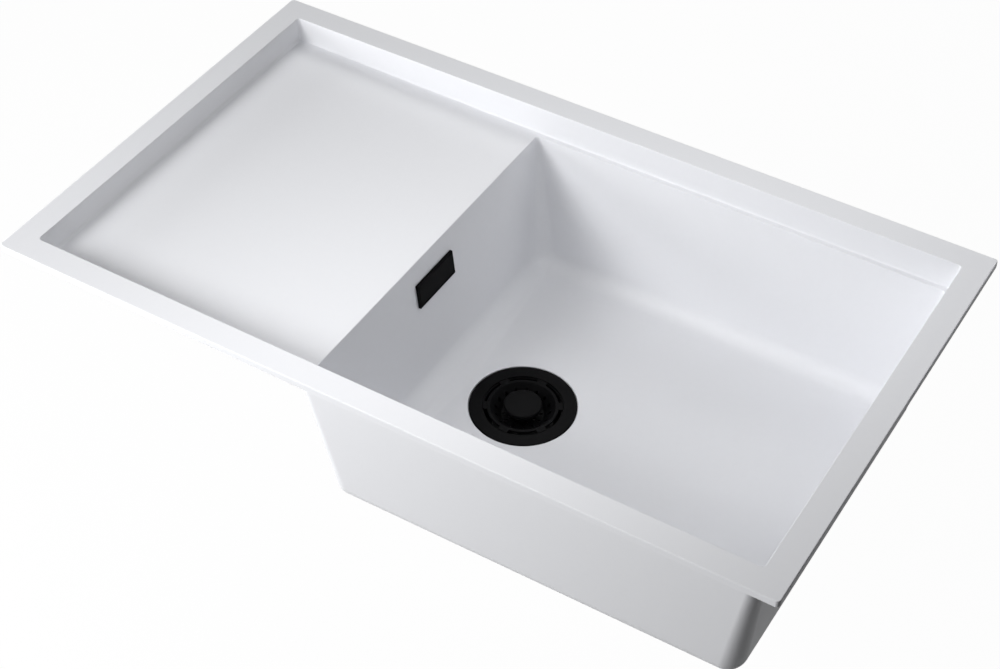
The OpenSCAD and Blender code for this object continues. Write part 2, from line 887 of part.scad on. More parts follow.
module hose_washer() {
    translate([0, 0, collar_length])
        rotate_extrude($fn = round_fn)
            polygon([
                [hose_cuff_r + thread_gap, 0],
                [collar_r - washer_taper, 0],
                [collar_r - thread_gap, washer_taper],
                [collar_r - thread_gap, washer_h],
                [hose_cuff_r + thread_gap, washer_h]
            ]);
}

// Path of the hose's middle line: straight down the wall, round one bend, straight into the cup
hose_from = [
    overflow_x - hose_offset * cos(bowl_draft)
        + (housing_h / 2 + collar_length - hose_insert) * sin(bowl_draft),
    overflow_z - hose_offset * sin(bowl_draft)
        - (housing_h / 2 + collar_length - hose_insert) * cos(bowl_draft)
];
hose_to = [
    drain_x - cup_bore_r - cup_wall - inlet_reach - collar_length + hose_insert,
    inlet_z
];
hose_turn = 90 - bowl_draft;
bend_tangent = hose_bend_r * tan(hose_turn / 2);
hose_drop = (hose_from[1] - hose_to[1]) / cos(bowl_draft) - bend_tangent;
hose_knee_x = hose_from[0] + (hose_from[1] - hose_to[1]) * tan(bowl_draft);
hose_run = hose_to[0] - hose_knee_x - bend_tangent;
hose_arc = hose_bend_r * hose_turn * PI / 180;
hose_length = hose_drop + hose_arc + hose_run;
bend_x = hose_knee_x + bend_tangent;
bend_z = hose_to[1] + hose_bend_r;

function ease(t) = t * t * (3 - 2 * t);
function hose_point(s) =
    s < hose_drop
        ? [hose_from[0] + s * sin(bowl_draft), overflow_y, hose_from[1] - s * cos(bowl_draft)]
    : s > hose_drop + hose_arc
        ? [hose_to[0] - (hose_length - s), drain_y, hose_to[1]]
    : let (t = (s - hose_drop) / hose_arc, a = 180 + bowl_draft + hose_turn * t)
        [
            bend_x + hose_bend_r * cos(a),
            overflow_y + (drain_y - overflow_y) * ease(t),
            bend_z + hose_bend_r * sin(a)
        ];
function unit(v) = v / norm(v);

// The hose: plain ends, ribs between them, and a bore all through
module overflow_hose() {
    sides = 8;
    rib_h = 1.3;
    cuff = 2 * hose_r;
    ribs = floor((hose_length - 2 * cuff) / rib_pitch);
    ribbed = hose_length - 2 * cuff;
    probe = rib_pitch / 8;
    stations = concat(
        [0],
        [for (i = [0 : 2 * ribs]) cuff + ribbed * i / (2 * ribs)],
        [hose_length]);
    radii = concat(
        [hose_cuff_r],
        [
            for (i = [0 : 2 * ribs])
                i == 0 || i == 2 * ribs ? hose_cuff_r : i % 2 == 0 ? hose_r - rib_h : hose_r
        ],
        [hose_cuff_r]);
    count = len(stations);
    function ring_at(i, r) =
        let (
            s = stations[i],
            ahead = hose_point(min(s + probe, hose_length)),
            behind = hose_point(max(s - probe, 0)),
            along = unit(ahead - behind),
            out = unit(cross(along, [0, 1, 0])),
            side = cross(out, along)
        )
            [for (k = [0 : sides - 1])
                hose_point(s) + r * (cos(360 * k / sides) * out + sin(360 * k / sides) * side)];
    outer = [for (i = [0 : count - 1]) each ring_at(i, radii[i])];
    inner = [for (i = [0 : count - 1]) each ring_at(i, hose_bore_r)];
    shift = count * sides;
    function at(i, k) = i * sides + k % sides;
    walls = [
        for (i = [0 : count - 2], k = [0 : sides - 1])
            each [
                [at(i, k), at(i, k + 1), at(i + 1, k + 1)],
                [at(i, k), at(i + 1, k + 1), at(i + 1, k)],
                [shift + at(i, k), shift + at(i + 1, k + 1), shift + at(i, k + 1)],
                [shift + at(i, k), shift + at(i + 1, k), shift + at(i + 1, k + 1)]
            ]
    ];
    ends = [
        for (k = [0 : sides - 1])
            each [
                [at(0, k), shift + at(0, k), shift + at(0, k + 1)],
                [at(0, k), shift + at(0, k + 1), at(0, k + 1)],
                [at(count - 1, k), shift + at(count - 1, k + 1), shift + at(count - 1, k)],
                [at(count - 1, k), at(count - 1, k + 1), shift + at(count - 1, k + 1)]
            ]
    ];
    color([0.18, 0.18, 0.19])
        polyhedron(points = concat(outer, inner), faces = concat(walls, ends));
}

module housing_washer() {
    color("dimgray")
        at_outlet()
            hose_washer();
}

module housing_nut() {
    color([0.15, 0.15, 0.16])
        at_outlet()
            hose_nut();
}

module cup_washer() {
    color("dimgray")
        at_inlet()
            hose_washer();
}

module cup_nut() {
    color([0.15, 0.15, 0.16])
        at_inlet()
            hose_nut();
}

basin();
flange_gasket();
waste_flange();
bowl_gasket();
waste_cup();
outlet_funnel();
cup_cross();
thread_insert();
centre_bolt();
strainer_basket();
strainer_post();
strainer_knob();
strainer_seal();
post_clip();
overflow_cover();
overflow_frame();
overflow_screws();
overflow_gasket();
overflow_housing();
overflow_hose();
housing_washer();
housing_nut();
cup_washer();
cup_nut();
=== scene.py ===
"""Kitchen sink with a drainboard: the visible model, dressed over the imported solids.

Sizes are in millimetres, in the part's own frame: the origin is the centre of the rim's underside,
+X runs from the drainboard to the bowl, +Y to the back and +Z up.
"""

import logging
import math
from collections.abc import Callable, Iterator, Sequence
from contextlib import contextmanager
from dataclasses import astuple, dataclass, replace
from enum import Enum

import bmesh
import bpy
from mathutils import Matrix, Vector


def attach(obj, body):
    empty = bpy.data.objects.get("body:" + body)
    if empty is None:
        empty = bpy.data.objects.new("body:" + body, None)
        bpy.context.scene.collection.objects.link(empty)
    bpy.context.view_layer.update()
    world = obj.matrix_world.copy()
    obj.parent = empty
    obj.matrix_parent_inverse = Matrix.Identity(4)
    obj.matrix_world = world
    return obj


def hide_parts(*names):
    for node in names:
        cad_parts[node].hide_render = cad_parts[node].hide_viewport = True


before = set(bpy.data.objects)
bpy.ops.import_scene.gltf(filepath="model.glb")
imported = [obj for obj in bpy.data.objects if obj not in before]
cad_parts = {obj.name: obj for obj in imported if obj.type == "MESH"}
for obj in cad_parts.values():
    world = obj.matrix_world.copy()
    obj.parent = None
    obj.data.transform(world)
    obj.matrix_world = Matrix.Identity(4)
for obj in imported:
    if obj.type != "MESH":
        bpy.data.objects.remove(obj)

LOG = logging.getLogger("sink")
MM = 0.001
MERGE = 0.004 * MM  # points closer than this become one
SHARP = 35  # softened edges are at least this sharp, in degrees
FLAT = 0.3  # faces that meet at less than this become one, in degrees
HAIR = 0.01  # distance that keeps two surfaces from lying in one plane
PAST = 2  # how far a cutter reaches past what it cuts
FAR = 20  # how far a rough cutter does
WAY_OUT = 12  # height of a hollow's cutter above the surface that it opens in
EDGE_END = 78  # where a rounded upper edge stops short of level, in degrees
EDGE_STEPS = 4  # segments of such an edge
LEAST_R = 0.25  # radius of a corner that is as good as sharp
ROUND = 128  # segments round the large turned pieces
Outline = list[tuple[float, float]]
Place = tuple[float, float, float]
Solid = bpy.types.Object
EdgeTest = Callable[[bmesh.types.BMEdge, bmesh.types.BMesh], bool]


# Modelling, as by hand


class Blend(Enum):
    """How a second solid changes the first."""

    JOIN = "UNION"
    REMOVE = "DIFFERENCE"
    KEEP = "INTERSECT"


class Axis(Enum):
    """An axis of the part's frame, with its direction."""

    X = (1.0, 0.0, 0.0)
    Y = (0.0, 1.0, 0.0)
    Z = (0.0, 0.0, 1.0)


@dataclass(frozen=True)
class Section:
    """One level outline of a lofted shape: a rectangle with round corners.

    Args:
        x0: Left side.
        y0: Front side.
        x1: Right side.
        y1: Back side.
        r: Radius of the corners.
        z: Level.
        tilt: Angle in degrees by which the left side is lower than level.
    """

    x0: float
    y0: float
    x1: float
    y1: float
    r: float
    z: float
    tilt: float = 0.0


def pick(obj: Solid) -> None:
    """Selects one object alone and makes it the active one.

    Args:
        obj: The object.
    """
    bpy.ops.object.select_all(action="DESELECT")
    bpy.context.view_layer.objects.active = obj
    obj.select_set(True)


def deselect(kind: str = "VERT") -> None:
    """Goes over to vertices or edges in edit mode, with none selected."""
    bpy.ops.mesh.select_mode(type=kind)
    bpy.ops.mesh.select_all(action="DESELECT")


@contextmanager
def edit_mode(obj: Solid) -> Iterator[None]:
    """Opens one object alone for editing, with nothing selected in it.

    Args:
        obj: The object.

    Yields:
        Nothing. Object mode comes back when the block ends.
    """
    pick(obj)
    bpy.ops.object.mode_set(mode="EDIT")
    deselect()
    yield
    bpy.ops.object.mode_set(mode="OBJECT")


def blank(name: str) -> Solid:
    """Starts an empty mesh object at the origin.

    Args:
        name: Name of the new object.

    Returns:
        The object.
    """
    bpy.ops.object.select_all(action="DESELECT")
    bpy.ops.mesh.primitive_plane_add(size=MM, location=(0, 0, 0))
    obj = bpy.context.active_object
    obj.name = name
    with edit_mode(obj):
        bpy.ops.mesh.select_all(action="SELECT")
        bpy.ops.mesh.delete(type="VERT")
    return obj


def metres(place: Sequence[float]) -> Place:
    """A place in millimetres, given to Blender in metres."""
    return tuple(value * MM for value in place)


def apply_modifiers(obj: Solid) -> None:
    """Applies every modifier of an object, in order.

    Args:
        obj: The object.
    """
    pick(obj)
    for name in [modifier.name for modifier in obj.modifiers]:
        bpy.ops.object.modifier_apply(modifier=name)


def combine(obj: Solid, other: Solid, how: Blend) -> None:
    """Joins, removes or keeps the space of a second solid, which is used up.

    Args:
        obj: The solid that changes.
        other: The solid that changes it.
        how: The kind of change.
    """
    modifier = obj.modifiers.new("combine", "BOOLEAN")
    modifier.operation = how.value
    modifier.solver = "EXACT"
    modifier.object = other
    apply_modifiers(obj)
    bpy.data.objects.remove(other)


def join(obj: Solid, other: Solid) -> None:
    """Joins a second solid to the first."""
    combine(obj, other, Blend.JOIN)


def cut(obj: Solid, other: Solid) -> None:
    """Takes the space of a second solid out of the first."""
    combine(obj, other, Blend.REMOVE)


def turn(obj: Solid, degrees: float, axis: Axis) -> None:
    """Turns a whole mesh about the origin, by the right-hand rule.

    With no window the operator turns the other way, hence the minus sign.

    Args:
        obj: The object whose mesh turns.
        degrees: Angle.
        axis: Axis of the turn.
    """
    with edit_mode(obj):
        bpy.ops.mesh.select_all(action="SELECT")
        bpy.ops.transform.rotate(
            value=-math.radians(degrees), orient_axis=axis.name, center_override=(0, 0, 0)
        )


def shift(obj: Solid, by: Place) -> None:
    """Moves a whole mesh.

    Args:
        obj: The object whose mesh moves.
        by: Distance in millimetres.
    """
    with edit_mode(obj):
        bpy.ops.mesh.select_all(action="SELECT")
        bpy.ops.transform.translate(value=metres(by))


def select_edges(obj: Solid, wanted: EdgeTest) -> None:
    """Selects edges in edit mode, and nothing else.

    Args:
        obj: The object in edit mode.
        wanted: Says of each edge, in its mesh, whether it is selected.
    """
    deselect("EDGE")
    mesh = bmesh.from_edit_mesh(obj.data)
    for edge in mesh.edges:
        edge.select_set(wanted(edge, mesh))
    bmesh.update_edit_mesh(obj.data)


def select_rings(obj: Solid, *rings: int) -> None:
    """Selects the edges of the numbered outlines of a loft, in edit mode.

    Args:
        obj: The loft.
        rings: Numbers of the outlines.
    """

    def wanted(edge: bmesh.types.BMEdge, mesh: bmesh.types.BMesh) -> bool:
        """Whether both ends of an edge are on one of the outlines."""
        first, second = (vert[mesh.verts.layers.int["ring"]] for vert in edge.verts)
        return first == second and first in rings

    select_edges(obj, wanted)


def add_outline(obj: Solid, section: Section, steps: int, ring: int) -> None:
    """Draws one outline of a loft: a plane, sized, its corners rounded, and its face taken away.

    Args:
        obj: The object in edit mode.
        section: The outline.
        steps: Segments of each corner.
        ring: Number that the outline's vertices keep.
    """
    centre = metres(((section.x0 + section.x1) / 2, (section.y0 + section.y1) / 2, section.z))
    deselect()
    bpy.ops.mesh.primitive_plane_add(size=1, location=centre)
    bpy.ops.transform.resize(
        value=((section.x1 - section.x0) * MM, (section.y1 - section.y0) * MM, 1), center_override=centre
    )
    bpy.ops.mesh.bevel(offset=section.r * MM, segments=steps, affect="VERTICES")
    if section.tilt:
        bpy.ops.transform.rotate(
            value=math.radians(section.tilt), orient_axis="Y", center_override=centre
        )
    mesh = bmesh.from_edit_mesh(obj.data)
    layer = mesh.verts.layers.int.get("ring") or mesh.verts.layers.int.new("ring")
    for vert in mesh.verts:
        if vert.select:
            vert[layer] = ring
    bmesh.update_edit_mesh(obj.data)
    bpy.ops.mesh.delete(type="ONLY_FACE")


def close_up() -> None:
    """Merges the points that meet and turns every face outwards, in edit mode."""
    bpy.ops.mesh.select_all(action="SELECT")
    bpy.ops.mesh.remove_doubles(threshold=MERGE)
    bpy.ops.mesh.normals_make_consistent(inside=False)


def loft(name: str, sections: Sequence[Section], steps: int = 12) -> Solid:
    """Bridges level outlines into one closed solid.

    Args:
        name: Name of the new object.
        sections: The outlines, from one end to the other.
        steps: Segments of each corner.

    Returns:
        The solid.
    """
    obj = blank(name)
    last = len(sections)
    with edit_mode(obj):
        for ring, section in enumerate(sections, start=1):
            add_outline(obj, section, steps, ring)
        for ring in range(1, last):
            select_rings(obj, ring, ring + 1)
            bpy.ops.mesh.bridge_edge_loops()
        for ring in (1, last):
            select_rings(obj, ring)
            bpy.ops.mesh.edge_face_add()
        close_up()
    obj.data.attributes.remove(obj.data.attributes["ring"])
    return obj


def rounded(corners: Sequence[tuple[float, float, float]], steps: int = 5) -> Outline:
    """Rounds the corners of a closed outline.

    Args:
        corners: Each corner's two coordinates and the radius it gets.
        steps: Segments of each round corner.

    Returns:
        The outline's points.
    """
    points: Outline = []
    for index, (x, y, r) in enumerate(corners):
        here = Vector((x, y))
        before = (Vector(corners[index - 1][:2]) - here).normalized()
        after = (Vector(corners[(index + 1) % len(corners)][:2]) - here).normalized()
        half = before.angle(after) / 2
        if not r:
            points.append((x, y))
            continue
        centre = here + (before + after).normalized() * (r / math.sin(half))
        start = here + before * (r / math.tan(half)) - centre
        swept = start.angle_signed(here + after * (r / math.tan(half)) - centre)
        for step in range(steps + 1):
            angle = -swept * step / steps
            cos, sin = math.cos(angle), math.sin(angle)
            points.append(
                (centre.x + start.x * cos - start.y * sin, centre.y + start.x * sin + start.y * cos)
            )
    return points


def draw(points: Sequence[Place]) -> None:
    """Draws a closed line in edit mode, by extruding one vertex from point to point, and fills it.

    Args:
        points: The line's points, in millimetres.
    """
    deselect()
    bpy.ops.mesh.primitive_plane_add(size=MM, location=metres(points[0]))
    bpy.ops.mesh.merge(type="CENTER")
    for here, there in zip(points, points[1:]):
        step = Vector(metres(there)) - Vector(metres(here))
        bpy.ops.mesh.extrude_region_move(TRANSFORM_OT_translate={"value": step})
    bpy.ops.mesh.select_all(action="SELECT")
    bpy.ops.mesh.edge_face_add()


def turned(
    name: str, outline: Outline, steps: int = 96, centre: tuple[float, float] = (0, 0)
) -> Solid:
    """Spins an outline round an upright axis, as on a lathe.

    Args:
        name: Name of the new object.
        outline: Radius and level of each point.
        steps: Segments round the axis.
        centre: Place of the axis.

    Returns:
        The solid.
    """
    obj = blank(name)
    with edit_mode(obj):
        draw([(centre[0] + r, centre[1], z) for r, z in outline])
        bpy.ops.mesh.delete(type="ONLY_FACE")
        bpy.ops.mesh.select_all(action="SELECT")
        bpy.ops.mesh.spin(
            steps=steps, angle=2 * math.pi, center=metres((*centre, 0)), axis=(0, 0, 1), use_auto_merge=True
        )
        close_up()
    return obj


def prism(name: str, points: Sequence[Place], along: Sequence[Place]) -> Solid:
    """Fills a flat outline and extrudes it, once for each step.

    Args:
        name: Name of the new object.
        points: The outline.
        along: The steps of the extrusion.

    Returns:
        The solid.
    """
    obj = blank(name)
    with edit_mode(obj):
        draw(points)
        for step in along:
            bpy.ops.mesh.extrude_region_move(TRANSFORM_OT_translate={"value": metres(step)})
        bpy.ops.mesh.select_all(action="SELECT")
        bpy.ops.mesh.normals_make_consistent(inside=False)
    return obj


def cylinder(name: str, r: float, centre: Place, height: float, steps: int) -> Solid:
    """Adds an upright cylinder.

    Args:
        name: Name of the new object.
        r: Radius.
        centre: Its middle.
        height: Height.
        steps: Segments round it.

    Returns:
        The solid.
    """
    obj = blank(name)
    with edit_mode(obj):
        bpy.ops.mesh.primitive_cylinder_add(
            vertices=steps, radius=r * MM, depth=height * MM, location=metres(centre)
        )
    return obj


def lies_along(edge: bmesh.types.BMEdge, axis: Axis) -> bool:
    """Whether an edge lies along an axis."""
    run = (edge.verts[1].co - edge.verts[0].co).normalized()
    return abs(run.dot(Vector(axis.value))) > 0.999


def block(name: str, low: Place, high: Place, corner: float = 0, axis: Axis = Axis.Z) -> Solid:
    """Adds a cube, sized, with the edges along one axis rounded.

    Args:
        name: Name of the new object.
        low: Lowest corner.
        high: Highest corner.
        corner: Radius of the round edges.
        axis: Direction of the round edges.

    Returns:
        The solid.
    """
    obj = blank(name)
    centre = metres([(a + b) / 2 for a, b in zip(low, high)])
    with edit_mode(obj):
        bpy.ops.mesh.primitive_cube_add(size=1, location=centre)
        bpy.ops.transform.resize(
            value=metres([b - a for a, b in zip(low, high)]), center_override=centre
        )
        if corner:
            select_edges(obj, lambda edge, mesh: lies_along(edge, axis))
            bpy.ops.mesh.bevel(offset=corner * MM, segments=5, affect="EDGES")
    return obj


def soften(obj: Solid, width: float, steps: int = 2) -> None:
    """Rounds every sharp edge a little, as a mould does.

    Args:
        obj: The object.
        width: Width of the rounding.
        steps: Segments of the rounding.
    """
    with edit_mode(obj):
        bpy.ops.mesh.select_all(action="SELECT")
        bpy.ops.mesh.dissolve_limited(angle_limit=math.radians(FLAT))
    modifier = obj.modifiers.new("soften", "BEVEL")
    modifier.width = width * MM
    modifier.segments = steps
    modifier.limit_method = "ANGLE"
    modifier.angle_limit = math.radians(SHARP)
    modifier.use_clamp_overlap = True
    modifier.harden_normals = False
    apply_modifiers(obj)


def finish_surface(obj: Solid, angle: float) -> None:
    """Shades a piece smooth, with its flat faces kept flat.

    Args:
        obj: The piece.
        angle: Angle in degrees over which an edge stays sharp.
    """
    pick(obj)
    bpy.ops.object.shade_smooth_by_angle(angle=math.radians(angle))
    modifier = obj.modifiers.new("even", "WEIGHTED_NORMAL")
    modifier.keep_sharp = True
    modifier.weight = 60
    apply_modifiers(obj)


# Materials


@dataclass(frozen=True)
class Signal:
    """A number that varies over a surface, with Python's arithmetic on it."""

    tree: bpy.types.NodeTree
    socket: bpy.types.NodeSocket

    def _with(self, operation: str, first: "Signal | float", second: "Signal | float") -> "Signal":
        """Adds a Math node on two values."""
        return Graph(self.tree).node("ShaderNodeMath", {"operation": operation}, {0: first, 1: second})

    def __add__(self, other: "Signal | float") -> "Signal":
        """Sum."""
        return self._with("ADD", self, other)

    def __radd__(self, other: float) -> "Signal":
        """Sum, with the number first."""
        return self._with("ADD", other, self)

    def __sub__(self, other: "Signal | float") -> "Signal":
        """Difference."""
        return self._with("SUBTRACT", self, other)

    def __mul__(self, other: "Signal | float") -> "Signal":
        """Product."""
        return self._with("MULTIPLY", self, other)


@dataclass(frozen=True)
class Graph:
    """The node tree of one material."""

    tree: bpy.types.NodeTree

    @classmethod
    def of(cls, owner: bpy.types.Material | bpy.types.World) -> "Graph":
        """Starts the empty node tree of a material or a world.

        Args:
            owner: The material or world.

        Returns:
            The tree.
        """
        owner.use_nodes = True
        owner.node_tree.nodes.clear()
        return cls(owner.node_tree)

    def node(self, kind: str, settings: dict, sockets: dict, output: int | str = 0) -> Signal:
        """Adds one node.

        Args:
            kind: The node's type.
            settings: Its own settings, set first.
            sockets: Value or link of each input, by name or number.
            output: The output that is handed back.

        Returns:
            That output.
        """
        made = self.tree.nodes.new(kind)
        for name, value in settings.items():
            setattr(made, name, value)
        for name, value in sockets.items():
            if isinstance(value, Signal):
                self.tree.links.new(value.socket, made.inputs[name])
            else:
                made.inputs[name].default_value = value
        return Signal(self.tree, made.outputs[output] if made.outputs else None)

    def grain(self, size: float, detail: float, stretch: Place = (1, 1, 1)) -> Signal:
        """Noise on Object coordinates.

        Args:
            size: Size of its spots, in millimetres.
            detail: Number of finer layers.
            stretch: Scale along each axis, for a pattern that runs one way.

        Returns:
            The noise, around 0.5.
        """
        where = self.node("ShaderNodeTexCoord", {}, {}, "Object")
        place = self.node("ShaderNodeMapping", {}, {"Vector": where, "Scale": stretch})
        return self.node(
            "ShaderNodeTexNoise",
            {"noise_dimensions": "3D"},
            {"Vector": place, "Scale": 1 / (size * MM), "Detail": detail, "Roughness": 0.55},
            "Fac",
        )

    def tint(self, mask: Signal, low: Sequence[float], high: Sequence[float]) -> Signal:
        """Mixes two colours.

        Args:
            mask: Share of the second colour.
            low: The first colour.
            high: The second colour.

        Returns:
            The mix.
        """
        return self.node(
            "ShaderNodeMix",
            {"data_type": "RGBA", "clamp_factor": True},
            {"Factor": mask, 6: (*low, 1), 7: (*high, 1)},
            2,
        )

    def relief(self, height: Signal, depth: float) -> Signal:
        """Turns a height from 0 to 1 into a normal, by its depth in millimetres."""
        sockets = {"Height": height, "Distance": depth * MM, "Strength": 1}
        return self.node("ShaderNodeBump", {}, sockets, "Normal")

    def mix(self, share: "Signal | float", first: Signal, second: Signal) -> Signal:
        """Mixes two shaders by the second one's share."""
        return self.node("ShaderNodeMixShader", {}, {0: share, 1: first, 2: second})


@dataclass(frozen=True)
class Finish:
    """One finish of the object's surfaces.

    Args:
        name: The material's name.
        slot: The material slot in the record; not used.
        light: Colour of the lighter spots.
        dark: Colour of the darker spots.
        roughness: Middle of the roughness.
        spread: How far the roughness varies.
        spot: Size of the spots.
        pit: Size of the fine relief.
        depth: Depth of the fine relief.
        metal: 1 for bare metal.
        stretch: Stretch of the relief along each axis.
        gleam: Level of the plain reflection.
    """

    name: str
    slot: str
    light: tuple[float, float, float]
    dark: tuple[float, float, float]
    roughness: float
    spread: float
    spot: float
    pit: float
    depth: float
    metal: float = 0
    stretch: Place = (1, 1, 1)
    gleam: float = 0.5

    def material(self) -> bpy.types.Material:
        """Makes the material, unless it is already made.

        Returns:
            The material.
        """
        made = bpy.data.materials.get(self.name)
        if made:
            return made
        made = bpy.data.materials.new(self.name)
        graph = Graph.of(made)
        spots = graph.grain(self.spot, 3)
        fine = graph.grain(self.pit, 2, self.stretch)
        surface = graph.node(
            "ShaderNodeBsdfPrincipled",
            {},
            {
                "Base Color": graph.tint(spots, self.dark, self.light),
                "Roughness": self.roughness + (fine * 0.5 + spots * 0.5 - 0.5) * (2 * self.spread),
                "Metallic": self.metal,
                "Specular IOR Level": self.gleam,
                "Normal": graph.relief(fine, self.depth),
            },
        )
        graph.node("ShaderNodeOutputMaterial", {}, {"Surface": surface})
        return made

    def dress(self, obj: Solid) -> None:
        """Puts the finish on every face of an object."""
        obj.data.materials.clear()
        obj.data.materials.append(self.material())


COMPOSITE = Finish(
    "cast_white_composite", "composite", (0.792, 0.799, 0.824), (0.777, 0.784, 0.81),
    roughness=0.56, spread=0.05, spot=6, pit=0.5, depth=0.006, gleam=0.36,
)
MATT_BLACK = Finish(
    "satin_black", "matt_black", (0.0045, 0.0045, 0.0049), (0.0033, 0.0033, 0.0036),
    roughness=0.45, spread=0.05, spot=3, pit=0.25, depth=0.012, gleam=0.025,
)
MOULDED = Finish(
    "dark_moulding", "moulded_black", (0.02, 0.02, 0.021), (0.014, 0.014, 0.015),
    roughness=0.42, spread=0.08, spot=8, pit=0.4, depth=0.012,
)
POST = Finish(
    "grey_post", "post_plastic", (0.10, 0.10, 0.104), (0.08, 0.08, 0.084),
    roughness=0.5, spread=0.06, spot=3, pit=0.3, depth=0.01,
)
HOSE = Finish(
    "dark_hose", "hose_plastic", (0.055, 0.055, 0.058), (0.04, 0.04, 0.043),
    roughness=0.38, spread=0.07, spot=6, pit=0.4, depth=0.01,
)
GREY_RUBBER = Finish(
    "pale_rubber", "grey_rubber", (0.12, 0.12, 0.12), (0.085, 0.085, 0.085),
    roughness=0.8, spread=0.08, spot=2, pit=0.3, depth=0.02,
)
BLACK_RUBBER = Finish(
    "dark_rubber", "black_rubber", (0.02, 0.02, 0.02), (0.013, 0.013, 0.013),
    roughness=0.72, spread=0.08, spot=2, pit=0.3, depth=0.02,
)
STEEL = Finish(
    "turned_steel", "steel", (0.60, 0.60, 0.61), (0.50, 0.50, 0.515),
    roughness=0.32, spread=0.10, spot=1.5, pit=0.3, depth=0.006, metal=1, stretch=(1, 1, 6),
)
BRASS = Finish(
    "turned_brass", "brass", (0.72, 0.53, 0.25), (0.60, 0.43, 0.19),
    roughness=0.34, spread=0.08, spot=1.5, pit=0.3, depth=0.006, metal=1,
)


# The object


def arc(centre: tuple[float, float], r: float, start: float, end: float, steps: int) -> Outline:
    """Points of an arc, by its angles in degrees."""
    angles = [math.radians(start + (end - start) * step / steps) for step in range(steps + 1)]
    return [(centre[0] + r * math.cos(angle), centre[1] + r * math.sin(angle)) for angle in angles]


def join_round(
    body: Solid,
    make: Callable[[], Solid],
    count: int,
    first: float = 0.5,
    centre: tuple[float, float] = (0, 0),
) -> None:
    """Joins copies of a solid to a body, evenly round an upright axis.

    Args:
        body: The body.
        make: Builds one copy, on the X axis.
        count: Number of copies.
        first: Place of the first copy, as a share of the step between two.
        centre: Place of the axis.
    """
    for index in range(count):
        copy = make()
        turn(copy, 360 * (index + first) / count, Axis.Z)
        shift(copy, (*centre, 0))
        join(body, copy)


@dataclass(frozen=True)
class Well:
    """A hollow with drafted walls and a rounded upper edge.

    Args:
        x0: Left side at the top, before the edge is rounded.
        y0: Front side.
        x1: Right side.
        y1: Back side.
        top: Level of the surface that it opens in.
        draft: Draft of the walls, in degrees.
        corner: Radius of the corners at the top.
        edge: Radius of the rounded upper edge.
    """

    x0: float
    y0: float
    x1: float
    y1: float
    top: float
    draft: float
    corner: float
    edge: float

    def inset(self, z: float) -> float:
        """How far the walls stand in at a level."""
        return (self.top - z) * math.tan(math.radians(self.draft))

    def section(self, inset: float, r: float, z: float, tilt: float = 0) -> Section:
        """An outline at a level, drawn in all round."""
        return Section(self.x0 + inset, self.y0 + inset, self.x1 - inset, self.y1 - inset, r, z, tilt)

    def rounded_edge(self) -> list[Section]:
        """The outlines of the rounded upper edge, and of a straight way out above it.

        Returns:
            The outlines, from the wall up.
        """
        lean, r = math.radians(self.draft), self.edge
        centre = r * (1 - math.sin(lean)) * math.tan(lean) - r * math.cos(lean)
        wall = centre + r * math.cos(lean)
        made = []
        for step in range(EDGE_STEPS + 1):
            angle = lean + (math.radians(EDGE_END) - lean) * step / EDGE_STEPS
            inset = centre + r * math.cos(angle)
            made.append(self.section(inset, self.corner + wall - inset, self.top - r + r * math.sin(angle)))
        return [*made, replace(made[-1], z=self.top + WAY_OUT)]


